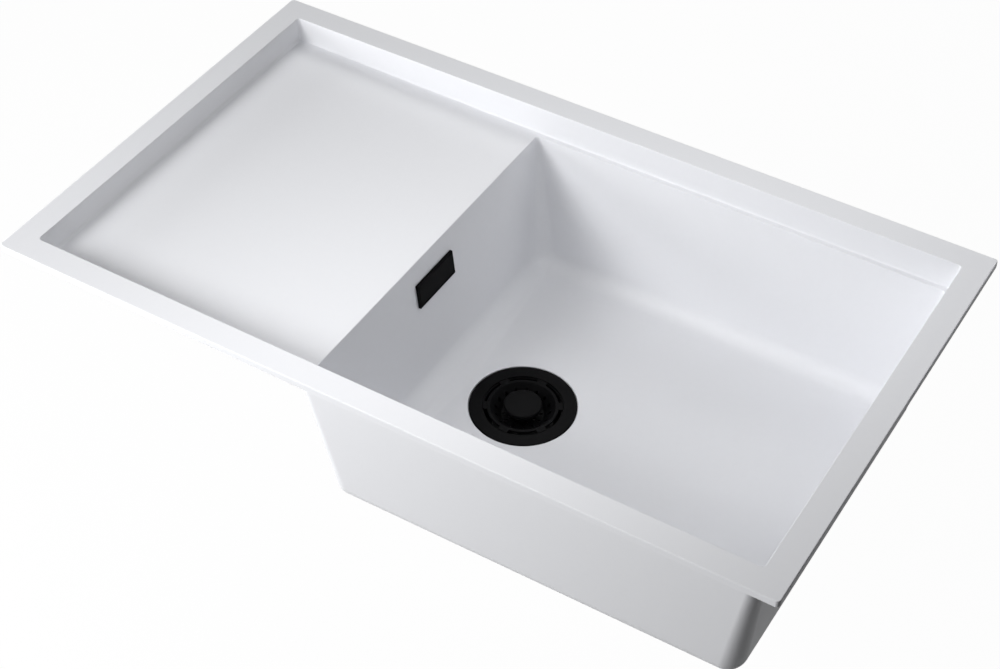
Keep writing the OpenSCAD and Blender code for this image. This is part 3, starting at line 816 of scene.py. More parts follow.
@dataclass
class Basin:
    """The cast body: rim, drainboard and bowl."""

    length: float = 860
    depth: float = 500
    rim_t: float = 8
    border: float = 27.5
    corner: float = 4
    edge: float = 1.1
    under_edge: float = 0.5
    recess_depth: float = 32
    recess_draft: float = 3.6
    recess_corner: float = 4
    recess_edge: float = 0.6
    divide: float = -80.5
    board_length: float = 322
    board_fall: float = 4
    cove: float = 4
    fillet: float = 1.6
    board_t: float = 7.5
    tray_wall: float = 6
    tray_edge: tuple[Place, ...] = (
        (8.2, 5.6, 0), (7.35, 6, 0.3), (6.5, 6.6, 1), (0.8, 9.6, 6.2), (0.2, 9.9, 7), (0, 10, 8.6)
    )
    ledge: float = 6
    mouth_edge: float = 0.9
    bowl_depth: float = 159
    bowl_draft: float = 6.2
    bowl_corner: float = 5
    bowl_steps: int = 23
    floor_corner: float = 20
    wall_t: float = 9
    outer_corner: float = 13
    outer_floor: float = 21
    under_fall: float = 4.98
    under_tilt: float = 0.693
    floor_fall: float = 6
    fall_shares: tuple[float, ...] = (0.12, 0.3, 0.5, 0.7, 0.86, 1)
    drain: tuple[float, float] = (35, -5)
    flange_seat: float = 3
    seat_r: float = 58.3
    seat_edge: float = 0.6
    hole_r: float = 45
    floor_ring: float = 64.5
    pad_r: float = 73.5
    pad_drop: float = 15
    slot: tuple[float, float] = (58, 19)
    slot_corner: float = 2

    @property
    def z_ledge(self) -> float:
        """Level of the ledge round the bowl."""
        return self.rim_t - self.recess_depth

    @property
    def z_floor(self) -> float:
        """Level of the bowl's floor at its walls."""
        return self.z_ledge - self.bowl_depth

    def recess(self) -> Well:
        """The recess under the rim."""
        x, y = self.length / 2 - self.border, self.depth / 2 - self.border
        return Well(-x, -y, x, y, self.rim_t, self.recess_draft, self.recess_corner, self.recess_edge)

    def bowl(self, outward: float = 0) -> Well:
        """The bowl, or its outside.

        Args:
            outward: Thickness of the wall, for the outside.

        Returns:
            The hollow's sides.
        """
        recess = self.recess()
        inset = recess.inset(self.z_ledge) + self.ledge
        return Well(
            self.divide - outward,
            recess.y0 + inset - outward,
            recess.x1 - inset + outward,
            recess.y1 - inset + outward,
            self.z_ledge,
            self.bowl_draft,
            self.bowl_corner,
            self.mouth_edge,
        )

    def rim(self) -> Solid:
        """The flat plate of the rim, with its edges rounded.

        Returns:
            The solid.
        """
        x, y, r, under = self.length / 2, self.depth / 2, self.edge, self.under_edge
        side = [(under, 0), (0, under), *arc((r, self.rim_t - r), r, 180, 90, EDGE_STEPS)]
        return loft("basin_dressed", [
            Section(-x + inset, -y + inset, x - inset, y - inset, self.corner - inset, z) for inset, z in side
        ])

    def tray(self) -> Solid:
        """The outside of the recess and of the drainboard.

        Returns:
            The solid.
        """
        well, low, half = self.recess(), self.z_ledge - self.board_t, self.rim_t / 2
        wall = well.inset(self.z_ledge) - self.tray_wall
        sections = [well.section(wall + inset, r, low + rise) for inset, r, rise in self.tray_edge]
        corner = self.recess_corner + self.tray_wall
        return loft("tray", [*sections, well.section(well.inset(half) - self.tray_wall, corner, half)])

    def bowl_outside(self) -> Solid:
        """The outside of the bowl, whose underside falls to the left, towards the waste.

        Returns:
            The solid.
        """
        well, tilt, r = self.bowl(self.wall_t), self.under_tilt, self.outer_floor
        top = self.z_ledge - self.board_t / 2
        low = self.z_floor - self.wall_t - self.under_fall / 2
        walls = self.hollow(well, top, low, self.outer_corner, r, tilt)
        floor = self.towards_drain(well, low, r, self.pad_r, self.z_floor - self.pad_drop, tilt)
        return loft("bowl_outside", walls + floor, self.bowl_steps)

    def hollow(
        self, well: Well, top: float, low: float, corner: float, r: float, tilt: float = 0
    ) -> list[Section]:
        """The outlines of drafted walls and of the rounding down to the floor.

        Args:
            well: The hollow or its outside.
            top: Level where the walls start.
            low: Level of the floor at the walls.
            corner: Radius of the corners at the top.
            r: Radius between walls and floor.
            tilt: Tilt of the floor, in degrees.

        Returns:
            The outlines, from the top down.
        """
        lean = math.radians(well.draft)
        centre_z = low + r
        centre = well.inset(centre_z) + r / math.cos(lean)
        start_z = centre_z - r * math.sin(lean)
        made = []
        walls, bends = 6, 12
        for step in range(walls):
            share = step / walls
            z = top + (start_z - top) * share
            made.append(well.section(well.inset(z), corner + (r * math.cos(lean) - corner) * share, z))
        for step in range(bends + 1):
            angle = lean + (math.pi / 2 - lean) * step / bends
            out = max(r * math.cos(angle), LEAST_R)
            made.append(well.section(centre - out, out, centre_z - r * math.sin(angle), tilt))
        return made

    def towards_drain(
        self, well: Well, low: float, r: float, ring: float, drain_z: float, tilt: float = 0
    ) -> list[Section]:
        """The outlines of a floor that falls from its four sides to a ring round the waste.

        Args:
            well: The hollow or its outside.
            low: Level of the floor at the walls.
            r: Radius between walls and floor.
            ring: Radius of the ring.
            drain_z: Level of the ring.
            tilt: Tilt of the floor at the walls, in degrees.

        Returns:
            The outlines, from the walls in.
        """
        inset = well.inset(low + r) + r / math.cos(math.radians(well.draft))
        outer = astuple(well.section(inset, LEAST_R, low, tilt))
        x, y = self.drain
        inner = (x - ring, y - ring, x + ring, y + ring, ring - HAIR, drain_z, 0)
        return [Section(*(a + (b - a) * share for a, b in zip(outer, inner))) for share in self.fall_shares]

    def recess_space(self) -> Solid:
        """The space of the recess, with a cove at its left end and small fillets at its other sides.

        Returns:
            The solid.
        """
        well, r = self.recess(), self.fillet
        left, right, back, high = well.x0 - FAR, well.x1 + FAR, well.y1 + FAR, well.top + FAR + PAST
        lean, slope = math.radians(self.recess_draft), math.atan(self.board_fall / self.board_length)
        draft, fall = math.tan(lean), math.tan(slope)
        low = self.z_ledge - 2 * PAST
        bottom = well.section(well.inset(low), self.recess_corner, low)
        space = loft("recess_space", [bottom, *well.rounded_edge()])
        run = self.rim_t - self.z_ledge - self.divide * fall - self.cove / math.cos(slope)
        cove_x = (run * draft + well.x0 + self.cove / math.cos(lean)) / (1 - fall * draft)
        cove_z = self.z_ledge + (self.divide - cove_x) * fall + self.cove / math.cos(slope)
        cove = arc((cove_x - 2 * HAIR, cove_z), self.cove, 180, 270 - math.degrees(slope), 16)
        reach = well.inset(self.z_ledge + r - r * math.sin(lean)) + r * math.cos(lean) - HAIR
        fillet = arc((well.x1 - reach, self.z_ledge + r), r, -90, -self.recess_draft, 5)
        line = [(left, cove[0][1]), *cove, (self.divide, self.z_ledge), *fillet]
        line += [(right, fillet[-1][1]), (right, high), (left, high)]
        front = self.depth / 2
        lengthwise = prism("lengthwise", [(x, -front, z) for x, z in line], [(0, 2 * front, 0)])
        combine(space, lengthwise, Blend.KEEP)
        side = [(well.y1 - well.x1 + x, z) for x, z in fillet]
        half = [*side, (back, side[-1][1]), (back, high)]
        across = half + [(-y, z) for y, z in reversed(half)]
        along = [(self.divide - right, 0, 0), (left - self.divide, 0, (self.divide - left) * fall)]
        combine(space, prism("crosswise", [(right, y, z) for y, z in across], along), Blend.KEEP)
        return space

    def bowl_space(self) -> Solid:
        """The space of the bowl, down to the ring of floor round the waste.

        Returns:
            The solid.
        """
        well, r = self.bowl(), self.floor_corner
        edge = well.rounded_edge()
        walls = self.hollow(well, edge[0].z, self.z_floor, self.bowl_corner, r)
        floor = self.towards_drain(well, self.z_floor, r, self.floor_ring, self.z_floor - self.floor_fall)
        return loft("bowl_space", edge[::-1] + walls[1:] + floor, self.bowl_steps)

    def waste_space(self) -> Solid:
        """The seat of the waste's flange, with a softened edge, and the hole under it.

        Returns:
            The solid.
        """
        top, r = self.z_floor - self.floor_fall, self.seat_edge
        seat, under, high = top - self.flange_seat, top - self.wall_t - 5, top + 6
        edge = arc((self.seat_r + r, top - r), r, 180, 180 - EDGE_END, EDGE_STEPS)
        outline = [(0, under), (self.hole_r, under), (self.hole_r, seat), (self.seat_r, seat), *edge]
        return turned("waste_space", [*outline, (edge[-1][0], high), (0, high)], ROUND, self.drain)

    def build(self) -> Solid:
        """Joins the outside and takes the hollows out.

        Returns:
            The basin.
        """
        body, overflow = self.rim(), Overflow()
        for outside in (self.tray, self.bowl_outside):
            join(body, outside())
        for space in (self.recess_space, self.bowl_space, self.waste_space):
            cut(body, space())
        slot = overflow.plate("slot", *self.slot, -FAR, 2 * PAST, self.slot_corner)
        overflow.onto_wall(slot)
        cut(body, slot)
        return body

    def dress(self) -> None:
        """Builds the basin and gives it its finish and place."""
        add_piece(self.build(), COMPOSITE, "sink", "basin", crease=32)


@dataclass
class Waste:
    """The waste in the bowl's floor: flange with its dish, strainer and knob."""

    centre: tuple[float, float] = (35, -5)
    top: float = -188.8
    flange_r: float = 57.5
    flange_t: float = 2.2
    shoulder_r: float = 43
    shoulder: float = 2
    bore_r: float = 41.5
    dish_r: float = 43.5
    dish_floor: float = -220
    dish_floor_t: float = 2.5
    hub_r: float = 9
    hub: float = 12
    hub_recess_r: float = 6.4
    hub_recess: float = 6.4
    bolt_bore: float = 3.3
    hole_r: float = 5
    hole_ring: float = 23
    holes: int = 8
    basket_r: float = 38.2
    basket_t: float = 1.8
    basket_sink: float = 0.4
    basket_floor: float = -202.2
    basket_floor_r: float = 24
    basket_flat: float = 3.4
    tabs: int = 6
    tab_w: float = 11
    tab_t: float = 1.6
    tab_r: float = 42.7
    tab_root: float = 2.4
    tab_corner: float = 0.4
    boss_r: float = 7
    post_bore: float = 3.58
    strainer_hole_r: float = 1.9
    strainer_rows: tuple[tuple[int, float], ...] = ((8, 0.37), (12, 0.52), (16, 0.75))
    knob_r: float = 20.5
    knob_h: float = 6.4
    knob_top: float = -185.7
    knob_bore_r: float = 3.55
    knob_bore: float = 3.3

    def flange(self) -> Solid:
        """The flange with its dish, holed floor and hub.

        Returns:
            The solid.
        """
        top, floor = self.top, self.dish_floor
        under, end = floor - self.dish_floor_t, floor - self.dish_floor_t - self.hub
        body = turned("waste_flange_dressed", rounded([
            (self.flange_r, top - self.flange_t, 0.2),
            (self.flange_r, top, 1.3),
            (self.shoulder_r, top, 0.5),
            (self.shoulder_r, top - self.shoulder, 0.3),
            (self.bore_r, top - self.shoulder, 0.4),
            (self.bore_r, floor, 3),
            (self.hub_recess_r, floor, 0.6),
            (self.hub_recess_r, floor - self.hub_recess, 0.2),
            (self.bolt_bore, floor - self.hub_recess, 0),
            (self.bolt_bore, end, 0.2),
            (self.hub_r, end, 0.6),
            (self.hub_r, under, 1),
            (self.dish_r, under, 2),
            (self.dish_r, top - self.flange_t, 0.6),
        ]), ROUND, self.centre)
        self.drill(body, self.holes, self.hole_r, self.hole_ring, under - PAST, floor + PAST)
        return body

    def drill(
        self, body: Solid, count: int, r: float, ring: float, low: float, high: float
    ) -> None:
        """Drills a ring of upright holes.

        Args:
            body: What is drilled.
            count: Number of holes.
            r: Radius of each hole.
            ring: Radius of the ring.
            low: Lower end of the drill.
            high: Upper end of the drill.
        """
        for index in range(count):
            angle = 2 * math.pi * (index / count)
            x, y = self.centre[0] + ring * math.cos(angle), self.centre[1] + ring * math.sin(angle)
            cut(body, cylinder("drill", r, (x, y, (low + high) / 2), high - low, 24))

    def tab(self) -> Solid:
        """One tab of the strainer, on the X axis.

        Returns:
            The solid.
        """
        rim, half = self.top - self.basket_sink, self.tab_w / 2
        low = (self.basket_r - self.tab_root, -half, rim - self.tab_t)
        high = (math.sqrt(self.tab_r ** 2 - half ** 2), half, rim)
        return block("tab", low, high, self.tab_corner, Axis.X)

    def strainer(self) -> Solid:
        """The strainer's dish with its tabs, boss and holes.

        Returns:
            The solid.
        """
        rim, floor = self.top - self.basket_sink, self.basket_floor
        inner, low = self.basket_r - self.basket_flat, floor - self.basket_t
        boss, half = self.knob_top - self.knob_h, self.basket_t / 2
        body = turned("strainer_basket_dressed", rounded([
            (self.post_bore, low, 0),
            (self.basket_floor_r, low, 3),
            (inner + half, rim - self.basket_t, 0.3),
            (self.basket_r, rim - self.basket_t, 0.4),
            (self.basket_r, rim, 0.6),
            (inner, rim, 0.8),
            (self.basket_floor_r - half, floor, 3),
            (self.boss_r, floor, 1),
            (self.boss_r, boss, 0.3),
            (self.post_bore, boss, 0),
        ]), ROUND, self.centre)
        join_round(body, self.tab, self.tabs, centre=self.centre)
        for count, share in self.strainer_rows:
            self.drill(body, count, self.strainer_hole_r, self.basket_r * share, low - PAST, rim - 1)
        return body

    def knob(self) -> Solid:
        """The low round knob, with a rounded edge and a very shallow dish in its top.

        Returns:
            The solid.
        """
        low, top = self.knob_top - self.knob_h, self.knob_top
        return turned("strainer_knob_dressed", rounded([
            (self.knob_bore_r, low, 0),
            (self.knob_r - 1.6, low, 0.8),
            (self.knob_r, low + 2.2, 1.5),
            (self.knob_r, top - 0.1, 1.6),
            (self.knob_r - 5, top, 2),
            (0, top - 0.35, 0),
            (0, low + self.knob_bore, 0),
            (self.knob_bore_r, low + self.knob_bore, 0),
        ]), ROUND, self.centre)

    def dress(self) -> None:
        """Builds the pieces that show and gives them their finish and place."""
        for build, node, body in (
            (self.flange, "waste_flange", "sink"),
            (self.strainer, "strainer_basket", "strainer"),
            (self.knob, "strainer_knob", "strainer"),
        ):
            add_piece(build(), MATT_BLACK, body, node)


@dataclass
class Overflow:
    """The overflow: frame and cover inside the bowl, and housing outside it."""

    place: Place = (-76.089, 0, -64.6)
    lean: float = 6.2
    width: float = 66
    height: float = 29.5
    back: float = 0.15
    proud: float = 3.2
    border: float = 1.6
    gap: float = 0.7
    cover_t: float = 1.3
    cover_sink: float = 0.1
    corner: float = 0.6
    inner_corner: float = 0.3
    floor: float = 1.65
    window: tuple[float, float] = (24, 13)
    peg_y: float = 15.5
    peg_r: float = 1.6
    peg_hole_r: float = 1.85
    peg: float = 6
    peg_root: float = 0.65
    screw_y: float = 23.5
    screw_r: float = 2.8
    head_r: float = 4.7
    head: float = 2.4
    post_r: float = 5.4
    collar: tuple[float, float] = (56.4, 17.4)
    collar_depth: float = 6
    collar_wall: float = 1.5
    wall_t: float = 9.097
    gasket: float = 3
    plate_t: float = 3
    land: tuple[float, float] = (66, 27)
    land_corner: float = 6
    mouth: tuple[float, float] = (53, 14)
    box: tuple[float, float] = (60, 25)
    box_wall: float = 2.5
    box_depth: float = 40
    boss_r: float = 5
    boss_hole_r: float = 2.55
    hose_x: float = -36.447

    def onto_wall(self, obj: Solid) -> None:
        """Moves a mesh drawn round the wall's normal, +X, onto the leaning wall."""
        turn(obj, -self.lean, Axis.Y)
        shift(obj, self.place)

    def plate(self, name: str, w: float, h: float, low: float, high: float, r: float) -> Solid:
        """A plate on the wall, with round corners."""
        return block(name, (low, -w / 2, -h / 2), (high, w / 2, h / 2), r, Axis.X)

    def rod(self, y: float, r: float, low: float, high: float) -> Solid:
        """A round rod along the wall's normal.

        Args:
            y: Its distance from the middle.
            r: Radius.
            low: End towards the wall.
            high: End towards the bowl.

        Returns:
            The solid.
        """
        made = cylinder("rod", r, (0, y, 0), high - low, 32)
        turn(made, -90, Axis.Y)
        shift(made, ((low + high) / 2, 0, 0))
        return made

    def frame(self) -> Solid:
        """The thin frame round the cover, with its collar in the wall's slot.

        Returns:
            The solid.
        """
        end, front, depth = -self.collar_depth - PAST, 2 * PAST, self.collar_depth
        size = (self.width, self.height)
        body = self.plate("overflow_frame_dressed", *size, self.back, self.proud, self.corner)
        well = (self.width - 2 * self.border, self.height - 2 * self.border)
        cut(body, self.plate("well", *well, self.floor, self.proud + PAST, self.inner_corner))
        soften(body, 0.3)
        join(body, self.plate("collar", *self.collar, -depth, 1, 2))
        bore = [side - 2 * self.collar_wall for side in self.collar]
        cut(body, self.plate("bore", *bore, end, self.back + HAIR, 1))
        cut(body, self.plate("window", *self.window, end, front, 2))
        for y in (-self.screw_y, self.screw_y):
            join(body, self.rod(y, self.post_r, -depth, self.floor - 2 * HAIR))
            cut(body, self.rod(y, self.screw_r, end, front))
            cut(body, self.rod(y, self.head_r, self.floor - self.head, front))
        for y in (-self.peg_y, self.peg_y):
            cut(body, self.rod(y, self.peg_hole_r, end, front))
        return body

    def cover(self) -> Solid:
        """The flat cover with its two pegs. Its face stays bare.

        Returns:
            The solid.
        """
        inset, front = 2 * (self.border + self.gap), self.proud - self.cover_sink
        size = (self.width - inset, self.height - inset)
        body = self.plate("overflow_cover_dressed", *size, front - self.cover_t, front, self.inner_corner)
        soften(body, 0.25)
        root = front - self.peg_root
        for y in (-self.peg_y, self.peg_y):
            peg = self.rod(y, self.peg_r, root - self.peg, root)
            soften(peg, 0.3)
            join(body, peg)
        return body

    def at_outlet(self, obj: Solid) -> None:
        """Moves a mesh drawn up the Z axis onto the housing's collar, which points down.

        Args:
            obj: The object whose mesh moves.
        """
        turn(obj, 180, Axis.X)
        shift(obj, (self.hose_x, 0, -self.box[1] / 2))
        self.onto_wall(obj)

    def housing(self) -> Solid:
        """The hollow box behind the wall, with its plate, screw bosses and threaded collar.

        Returns:
            The solid.
        """
        face, wall = -self.wall_t - self.gasket, self.box_wall
        plate_back, back = face - self.plate_t, face - self.box_depth
        body = self.plate("overflow_housing_dressed", *self.box, back, plate_back + 1.5, 2)
        soften(body, 0.8, 3)
        plate = self.plate("plate", *self.land, plate_back, face, self.land_corner)
        soften(plate, 0.4)
        join(body, plate)
        inner = [side - 2 * wall for side in self.box]
        cut(body, self.plate("room", *inner, back + wall, plate_back, 1))
        cut(body, self.plate("mouth", *self.mouth, plate_back - 1, face + 1, 1))
        for y in (-self.screw_y, self.screw_y):
            join(body, self.rod(y, self.boss_r, back + 1.2, face - 2 * HAIR))
            cut(body, self.rod(y, self.boss_hole_r, back + wall, face + 1))
        self.onto_wall(body)
        Collar().attach(body, self.at_outlet, wall - 0.2, wall + 1)
        return body

    def dress(self) -> None:
        """Builds frame, cover and housing and gives them their finish and place."""
        for piece, node, body in (
            (self.frame(), "overflow_frame", "sink"), (self.cover(), "overflow_cover", "cover")
        ):
            self.onto_wall(piece)
            add_piece(piece, MATT_BLACK, body, node)
        add_piece(self.housing(), MOULDED, "sink", "overflow_housing")


@dataclass(frozen=True)
class Thread:
    """A screw thread that stands on a round spigot.

    Args:
        major: Outer radius.
        height: Height of the ridge.
        pitch: Rise of one turn.
        length: Length of the thread.
        foot: How far the ridge reaches into the spigot.
        crest: Where its flat top starts and ends, as shares of the pitch.
    """

    major: float
    height: float
    pitch: float
    length: float
    foot: float = 0.2
    crest: tuple[float, float] = (0.38, 0.6)

    @property
    def root(self) -> float:
        """Radius of the spigot between the turns."""
        return self.major - self.height

    def ridge(self) -> Solid:
        """The ridge alone, wound up the Z axis from 0.

        Returns:
            The solid.
        """
        low, high, half_gap = self.root - self.foot, self.major, 0.1
        start, end = (share * self.pitch for share in self.crest)
        obj = blank("ridge")
        with edit_mode(obj):
            draw([(low, 0, half_gap), (high, 0, start), (high, 0, end), (low, 0, self.pitch - half_gap)])
            bpy.ops.mesh.delete(type="ONLY_FACE")
        modifier = obj.modifiers.new("wind", "SCREW")
        modifier.axis = "Z"
        modifier.steps = modifier.render_steps = 48
        modifier.iterations = int(self.length / self.pitch)
        modifier.screw_offset = self.pitch * MM
        modifier.use_merge_vertices = True
        apply_modifiers(obj)
        with edit_mode(obj):
            bpy.ops.mesh.select_mode(type="EDGE")
            bpy.ops.mesh.select_non_manifold()
            bpy.ops.mesh.fill_holes(sides=0)
            bpy.ops.mesh.select_all(action="SELECT")
            bpy.ops.mesh.normals_make_consistent(inside=False)
        return obj


@dataclass(frozen=True)
class Collar:
    """A threaded collar that takes an end of the overflow's hose, drawn up the Z axis from its root at 0."""

    r: float = 16
    length: float = 14
    seat_r: float = 12.5
    seat: float = 12
    seat_edge: float = 0.5
    port_r: float = 8.5
    thread_start: float = 2.2
    thread: Thread = Thread(16, 1, 2.3, 11)

    def solid(self, root: float) -> Solid:
        """The collar with its thread.

        Args:
            root: How far it reaches below 0.

        Returns:
            The solid, with no bore yet.
        """
        body = turned("collar", rounded([
            (0, -root, 0),
            (self.r, -root, 0),
            (self.r, 1.6, 0.4),
            (self.thread.root, self.thread_start, 0.3),
            (self.thread.root, self.length, 0.5),
            (0, self.length, 0),
        ], 3))
        ridge = self.thread.ridge()
        shift(ridge, (0, 0, self.thread_start))
        join(body, ridge)
        return body

    def bore(self, root: float) -> Solid:
        """The room inside the collar.

        Args:
            root: How far it reaches below 0.

        Returns:
            The solid.
        """
        step, mouth_r, top = self.length - self.seat, self.seat_r + self.seat_edge, self.length + PAST
        return turned("bore", [
            (0, -root), (self.port_r, -root), (self.port_r, step), (self.seat_r, step),
            (self.seat_r, self.length - self.seat_edge), (mouth_r, self.length + HAIR),
            (mouth_r, top), (0, top),
        ])

    def attach(
        self,
        body: Solid,
        onto: Callable[[Solid], None],
        root: float,
        bore_root: float,
        room: Solid | None = None,
    ) -> None:
        """Joins the collar to a hollow body and opens it into the hollow.

        Args:
            body: The body.
            onto: Moves the collar to its place.
            root: How far the collar reaches below 0.
            bore_root: How far its bore does.
            room: Space that is cut from the collar first.
        """
        solid = self.solid(root)
        onto(solid)
        if room:
            cut(solid, room)
        join(body, solid)
        bore = self.bore(bore_root)
        onto(bore)
        cut(body, bore)


@dataclass
class Cup:
    """The cup under the bowl: flange, funnel, threaded outlet, inlet and the cross that holds the bolt."""

    centre: tuple[float, float] = (35, -5)
    top: float = -202
    bore: float = 46.5
    wall: float = 3.5
    rim_t: float = 4
    rim_w: float = 6
    funnel_top: float = -250
    funnel: float = 12
    outlet_r: float = 23.9
    outlet_bore: float = 19.5
    outlet_end: float = -288
    outlet_thread: Thread = Thread(23.9, 1.3, 2.31, 21.5)
    inlet_z: float = -228
    inlet_reach: float = 12
    boss_r: float = 8.5
    boss_top: float = -235.1
    boss: float = 16
    bolt_bore: float = 3.3
    insert_r: float = 4.85
    insert: float = 10
    arms: int = 4
    arm_t: float = 3
    arm_root: float = 1.5
    arm_end: float = 0.4
    arm_corner: float = 0.7

    def at_inlet(self, obj: Solid) -> None:
        """Moves a mesh drawn up the Z axis onto the inlet, which points to the left."""
        turn(obj, -90, Axis.Y)
        shift(obj, (self.centre[0] - self.bore - self.wall - self.inlet_reach, self.centre[1], self.inlet_z))

    def shell(self) -> Solid:
        """The turned part, with the outlet's thread.

        Returns:
            The solid.
        """
        outer, low, end = self.bore + self.wall, self.funnel_top - self.funnel, self.outlet_end
        rim, root = outer + self.rim_w, self.outlet_thread.root
        body = turned("waste_cup_dressed", rounded([
            (self.bore, self.top, 0.5),
            (rim, self.top, 0.5),
            (rim, self.top - self.rim_t, 0.8),
            (outer, self.top - self.rim_t, 1.5),
            (outer, self.funnel_top, 3),
            (self.outlet_r, low, 1.5),
            (self.outlet_r, low - 2.4, 0.4),
            (root, low - 3, 0.3),
            (root, end, 0.6),
            (self.outlet_bore, end, 0.5),
            (self.outlet_bore, low, 3),
            (self.bore, self.funnel_top, 3),
        ]), ROUND, self.centre)
        ridge = self.outlet_thread.ridge()
        shift(ridge, (*self.centre, end + 0.6))
        join(body, ridge)
        return body

    def arm(self) -> Solid:
        """One arm of the cross, on the X axis.

        Returns:
            The solid.
        """
        half = self.arm_t / 2
        low = (self.boss_r - self.arm_root, -half, self.boss_top - self.boss)
        high = (self.bore + self.arm_end, half, self.boss_top)
        return block("arm", low, high, self.arm_corner, Axis.X)

    def cross(self) -> Solid:
        """The boss for the centre bolt, on its arms.

        Returns:
            The solid.
        """
        low, step = self.boss_top - self.boss, self.boss_top - self.insert
        body = turned("cross", rounded([
            (self.bolt_bore, low, 0),
            (self.boss_r, low, 0.6),
            (self.boss_r, self.boss_top, 0.6),
            (self.insert_r, self.boss_top, 0),
            (self.insert_r, step, 0),
            (self.bolt_bore, step, 0),
        ]))
        join_round(body, self.arm, self.arms)
        shift(body, (*self.centre, 0))
        return body

    def build(self) -> Solid:
        """Joins the cup, its inlet and its cross.

        Returns:
            The solid.
        """
        body, low, high, root = self.shell(), self.funnel_top, self.top + 1, self.inlet_reach + self.wall
        room = turned("room", [(0, low), (self.bore, low), (self.bore, high), (0, high)], ROUND, self.centre)
        Collar().attach(body, self.at_inlet, root + 3, root + 6, room)
        join(body, self.cross())
        return body

    def dress(self) -> None:
        """Builds the cup and gives it its finish and place."""
        add_piece(self.build(), MOULDED, "sink", "waste_cup", "outlet_funnel", "cup_cross", crease=35)


@dataclass
class Nut:
    """The union nut that holds an end of the hose, drawn up the Z axis from its collar's root."""

    start: float = 7
    r: float = 19.45
    length: float = 14.3
    bore: float = 16.05
    end_t: float = 3
    hole: float = 12.5
    grips: int = 12
    grip_r: float = 1.6
    grip_gaps: tuple[float, float] = (0.8, 1.5)

    def grip(self) -> Solid:
        """One rib to grip the nut by, on the X axis.

        Returns:
            The solid.
        """
        low, high = self.start + self.grip_gaps[0], self.start + self.length - self.grip_gaps[1]
        outline = [(0, low, 0), (self.grip_r, low, 0.5), (self.grip_r, high, 1.2), (0, high, 0)]
        rib = turned("rib", rounded(outline, 3), 16)
        shift(rib, (self.r, 0, 0))
        return rib

    def build(self, name: str) -> Solid:
        """A ring with an inward end and ribs to grip it by.

        Args:
            name: Name of the new object.

        Returns:
            The nut.
        """
        end = self.start + self.length
        body = turned(name, rounded([
            (self.bore, self.start, 0.3),
            (self.r, self.start, 0.6),
            (self.r, end, 1.2),
            (self.hole, end, 0.6),
            (self.hole, end - self.end_t, 0.2),
            (self.bore, end - self.end_t, 0.3),
        ]))
        join_round(body, self.grip, self.grips, 0)
        return body

    def dress(self, node: str, onto: Callable[[Solid], None]) -> None:
        """Builds the nut and gives it its finish and place.

        Args:
            node: The solid that it replaces.
            onto: Moves it onto its collar.
        """
        body = self.build(node + "_dressed")
        onto(body)
        add_piece(body, MOULDED, "sink", node, crease=35)


